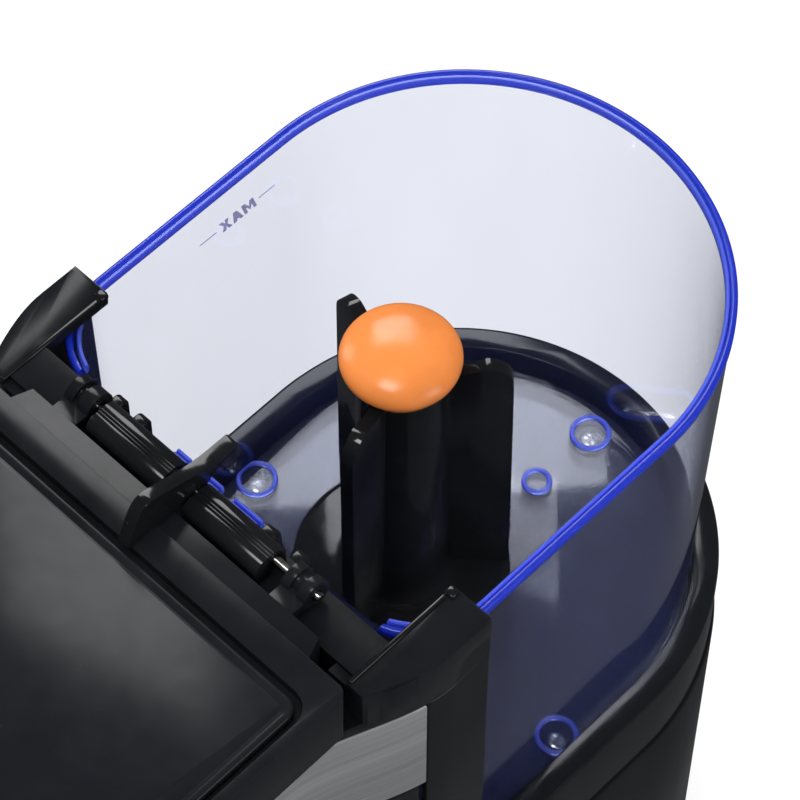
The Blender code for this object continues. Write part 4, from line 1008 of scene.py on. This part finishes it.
# ---------------------------------------------------------------- front and small parts
def make_front():
    """Ribbed knob on its steel bezel, and the latch button."""
    face = KNOB_LO.y + 0.0172
    upright = Matrix.Rotation(math.pi / 2, 4, "X")
    knob = lathe([(0.0, 0.0), (0.0176, 0.0), (0.0184, 0.0009), (0.0172, 0.0118), (0.0164, 0.0134),
                  (0.0150, 0.0140),
                  (0.0, 0.0140)], 0.0, "dial_knob", SATIN, 96)
    ribs = []
    for i in range(24):
        a = math.tau * i / 24
        ribs.append(rod(0.0192 * math.cos(a), 0.0192 * math.sin(a), 0.0016, 0.0013, 0.0150, "Z", steps=12))
    cut(knob, *ribs)
    add(knob, block(-0.0020, 0.0020, -0.0144, 0.0144, 0.0100, 0.0168),
        rod(0.0, 0.0, -0.0168, 0.0030, 0.0180, "Z"))
    soften(knob, 0.0004, 2, 40.0)
    knob.data.transform(Matrix.Translation((0.0, face, KNOB_Z)) @ upright)
    place(knob, "knob", "black_satin", "speed_knob")

    lo, hi = span("knob_bezel")
    r = hi.x
    bezel = lathe([(0.0060, 0.0), (0.0122, 0.0), (0.0122, 0.0052), (r - 0.0003, 0.0052), (r, 0.0056),
                   (r, 0.0062),
                   (r - 0.0004, 0.0068), (r - 0.0012, 0.0072), (0.0060, 0.0072)], 0.0, "dial_bezel", BRUSHED,
                   96)
    bezel.data.transform(Matrix.Translation((0.0, hi.y, KNOB_Z)) @ upright)
    sharpen(bezel, 40.0)
    place(bezel, "base", "steel_brushed", "knob_bezel")

    lo, hi = BUTTON_LO, BUTTON_HI
    button = block(lo.x, hi.x, lo.y, lo.y + 0.0074, lo.z + 0.0043, hi.z, "latch_push", SATIN)
    grooves = []
    for k in range(3):
        z = hi.z - 0.0026 - 0.0018 * k
        grooves.append(block(lo.x + 0.0020, hi.x - 0.0020, lo.y - 0.001, lo.y + 0.0005, z - 0.0004,
                             z + 0.0004))
    add(button, block(-0.0060, 0.0060, lo.y + 0.0062, hi.y, lo.z, lo.z + 0.0065))
    cut(button, *grooves)
    soften(button, 0.0003, 2, 40.0)
    place(button, "latch", "black_satin", "latch_button")


CARRIED = (
    (MATT, ("bottom_plate", "motor_cradle", "speed_switch", "gearmotor_bracket")),
    (RUBBER, ("foot_front_left", "foot_front_right", "foot_rear_left", "foot_rear_right", "cord_gland",
              "shaft_seal")),
    (NYLON, ("spindle_bushing", "cooling_fan", "drive_coupling", "disc_clamp", "leveller_gear",
             "spindle_collar")),
    (BRUSHED, ("filter_basket", "motor_stator", "leveller_gearmotor")),
    (BRIGHT, ("lower_bearing", "upper_bearing", "motor_shaft", "grating_disc", "latch_spring",
              "leveller_spindle",
              "leveller_pinion")),
    (COPPER, ("motor_coils_lower", "motor_coils_upper", "motor_armature", "motor_commutator")),
    (SMOKE, ("juice_bowl", "juice_spout", "bowl_cover")),
    (SATIN, ("food_pusher",)),
    (PCB, ("control_board",)),
)


def dress_carried():
    """Finishes of the CAD nodes that stay."""
    for mat, names in CARRIED:
        for name in names:
            data = frame["nodes"][name].data
            data.materials.clear()
            data.materials.append(mat)
            for poly in data.polygons:
                poly.material_index = 0


# ---------------------------------------------------------------- stage
def ray_share(nodes, links):
    """Two shares: 1 on rays that were mirrored once or more, 1 on rays straight or through clear walls."""
    path = nodes.new("ShaderNodeLightPath")
    mirrored = nodes.new("ShaderNodeMath")
    mirrored.operation = "MINIMUM"
    mirrored.inputs[1].default_value = 1.0
    links.new(path.outputs["Glossy Depth"], mirrored.inputs[0])
    seen = nodes.new("ShaderNodeMath")
    seen.operation = "MAXIMUM"
    links.new(path.outputs["Is Camera Ray"], seen.inputs[0])
    links.new(path.outputs["Is Transmission Ray"], seen.inputs[1])
    return mirrored.outputs[0], seen.outputs[0]


def make_floor():
    """Pale sweep: bright to the eye, soft contact shadow, dim in reflections."""
    mat, nodes, links, shader = node_material("stage_white")
    soft = noise(nodes, links, 3.0, 2.0)
    links.new(blend_colour(nodes, links, soft.outputs["Fac"], (0.93, 0.93, 0.93), (0.96, 0.96, 0.96)),
              shader.inputs["Base Color"])
    shader.inputs["Roughness"].default_value = 0.9
    mirror, seen = ray_share(nodes, links)
    glow = nodes.new("ShaderNodeEmission")
    glow.inputs["Color"].default_value = (1.0, 1.0, 1.0, 1.0)
    glow.inputs["Strength"].default_value = 1.05
    dim = nodes.new("ShaderNodeEmission")
    dim.inputs["Color"].default_value = (0.95, 0.97, 1.0, 1.0)
    dim.inputs["Strength"].default_value = 0.08
    share = nodes.new("ShaderNodeMath")
    share.operation = "MULTIPLY"
    share.inputs[1].default_value = 0.80
    links.new(seen, share.inputs[0])
    first = nodes.new("ShaderNodeMixShader")
    links.new(share.outputs[0], first.inputs["Fac"])
    links.new(shader.outputs["BSDF"], first.inputs[1])
    links.new(glow.outputs["Emission"], first.inputs[2])
    second = nodes.new("ShaderNodeMixShader")
    links.new(mirror, second.inputs["Fac"])
    links.new(first.outputs["Shader"], second.inputs[1])
    links.new(dim.outputs["Emission"], second.inputs[2])
    links.new(second.outputs["Shader"], nodes["Material Output"].inputs["Surface"])
    bpy.ops.mesh.primitive_plane_add(size=8.0, location=(0.0, 0.0, -0.0002))
    floor = bpy.context.object
    floor.name = "stage_floor"
    floor.data.materials.append(mat)


def make_world():
    """White surround for light, dim surround for reflections."""
    world = bpy.data.worlds.new("studio")
    bpy.context.scene.world = world
    world.use_nodes = True
    nodes, links = world.node_tree.nodes, world.node_tree.links
    white = nodes["Background"]
    white.inputs["Color"].default_value = (1.0, 1.0, 1.0, 1.0)
    white.inputs["Strength"].default_value = 1.0
    dim = nodes.new("ShaderNodeBackground")
    dim.inputs["Color"].default_value = (0.85, 0.92, 1.0, 1.0)
    dim.inputs["Strength"].default_value = 0.05
    mirror = ray_share(nodes, links)[0]
    mix = nodes.new("ShaderNodeMixShader")
    links.new(mirror, mix.inputs["Fac"])
    links.new(white.outputs["Background"], mix.inputs[1])
    links.new(dim.outputs["Background"], mix.inputs[2])
    links.new(mix.outputs["Shader"], nodes["World Output"].inputs["Surface"])


def lamp(name, place_at, target, size, power, through):
    """Soft box aimed at a point."""
    light = bpy.data.lights.new(name, "AREA")
    light.shape = "RECTANGLE"
    light.size, light.size_y = size
    light.energy = power
    obj = bpy.data.objects.new(name, light)
    bpy.context.scene.collection.objects.link(obj)
    obj.location = place_at
    aim = Vector(target) - Vector(place_at)
    obj.rotation_euler = aim.to_track_quat("-Z", "Y").to_euler()
    obj.visible_camera = False
    obj.visible_transmission = through


def make_stage():
    """White sweep, soft boxes, world and camera."""
    make_floor()
    make_world()
    for name, place_at, size, power, through in LAMPS:
        lamp(name, place_at, (0.0, 0.0, 0.25), size, power, through)

    cam = bpy.data.cameras.new("photo_view")
    cam.lens = CAM_LENS
    cam.sensor_width = CAM_SENSOR
    eye = bpy.data.objects.new("photo_view", cam)
    bpy.context.scene.collection.objects.link(eye)
    rim_mid = CON_HI.z - 0.0016
    level = math.cos(CAM_ELEVATION)
    back = Vector((math.sin(CAM_AZIMUTH) * level, -math.cos(CAM_AZIMUTH) * level, math.sin(CAM_ELEVATION)))
    aim_at = Vector((CAM_AIM_X, CON_Y - CAM_AIM_BACK, rim_mid))
    eye.location = aim_at + back * CAM_DISTANCE
    eye.rotation_euler = (-back).to_track_quat("-Z", "Y").to_euler()
    cam.clip_start = 0.01
    cam.clip_end = 30.0
    bpy.context.scene.camera = eye
    bpy.context.scene.view_settings.view_transform = "Standard"


make_base()
make_tray()
make_tower()
make_band()
make_top_frame()
make_hinge()
make_lid()
make_arm()
make_container()
make_rotor()
make_front()
dress_carried()
make_stage()
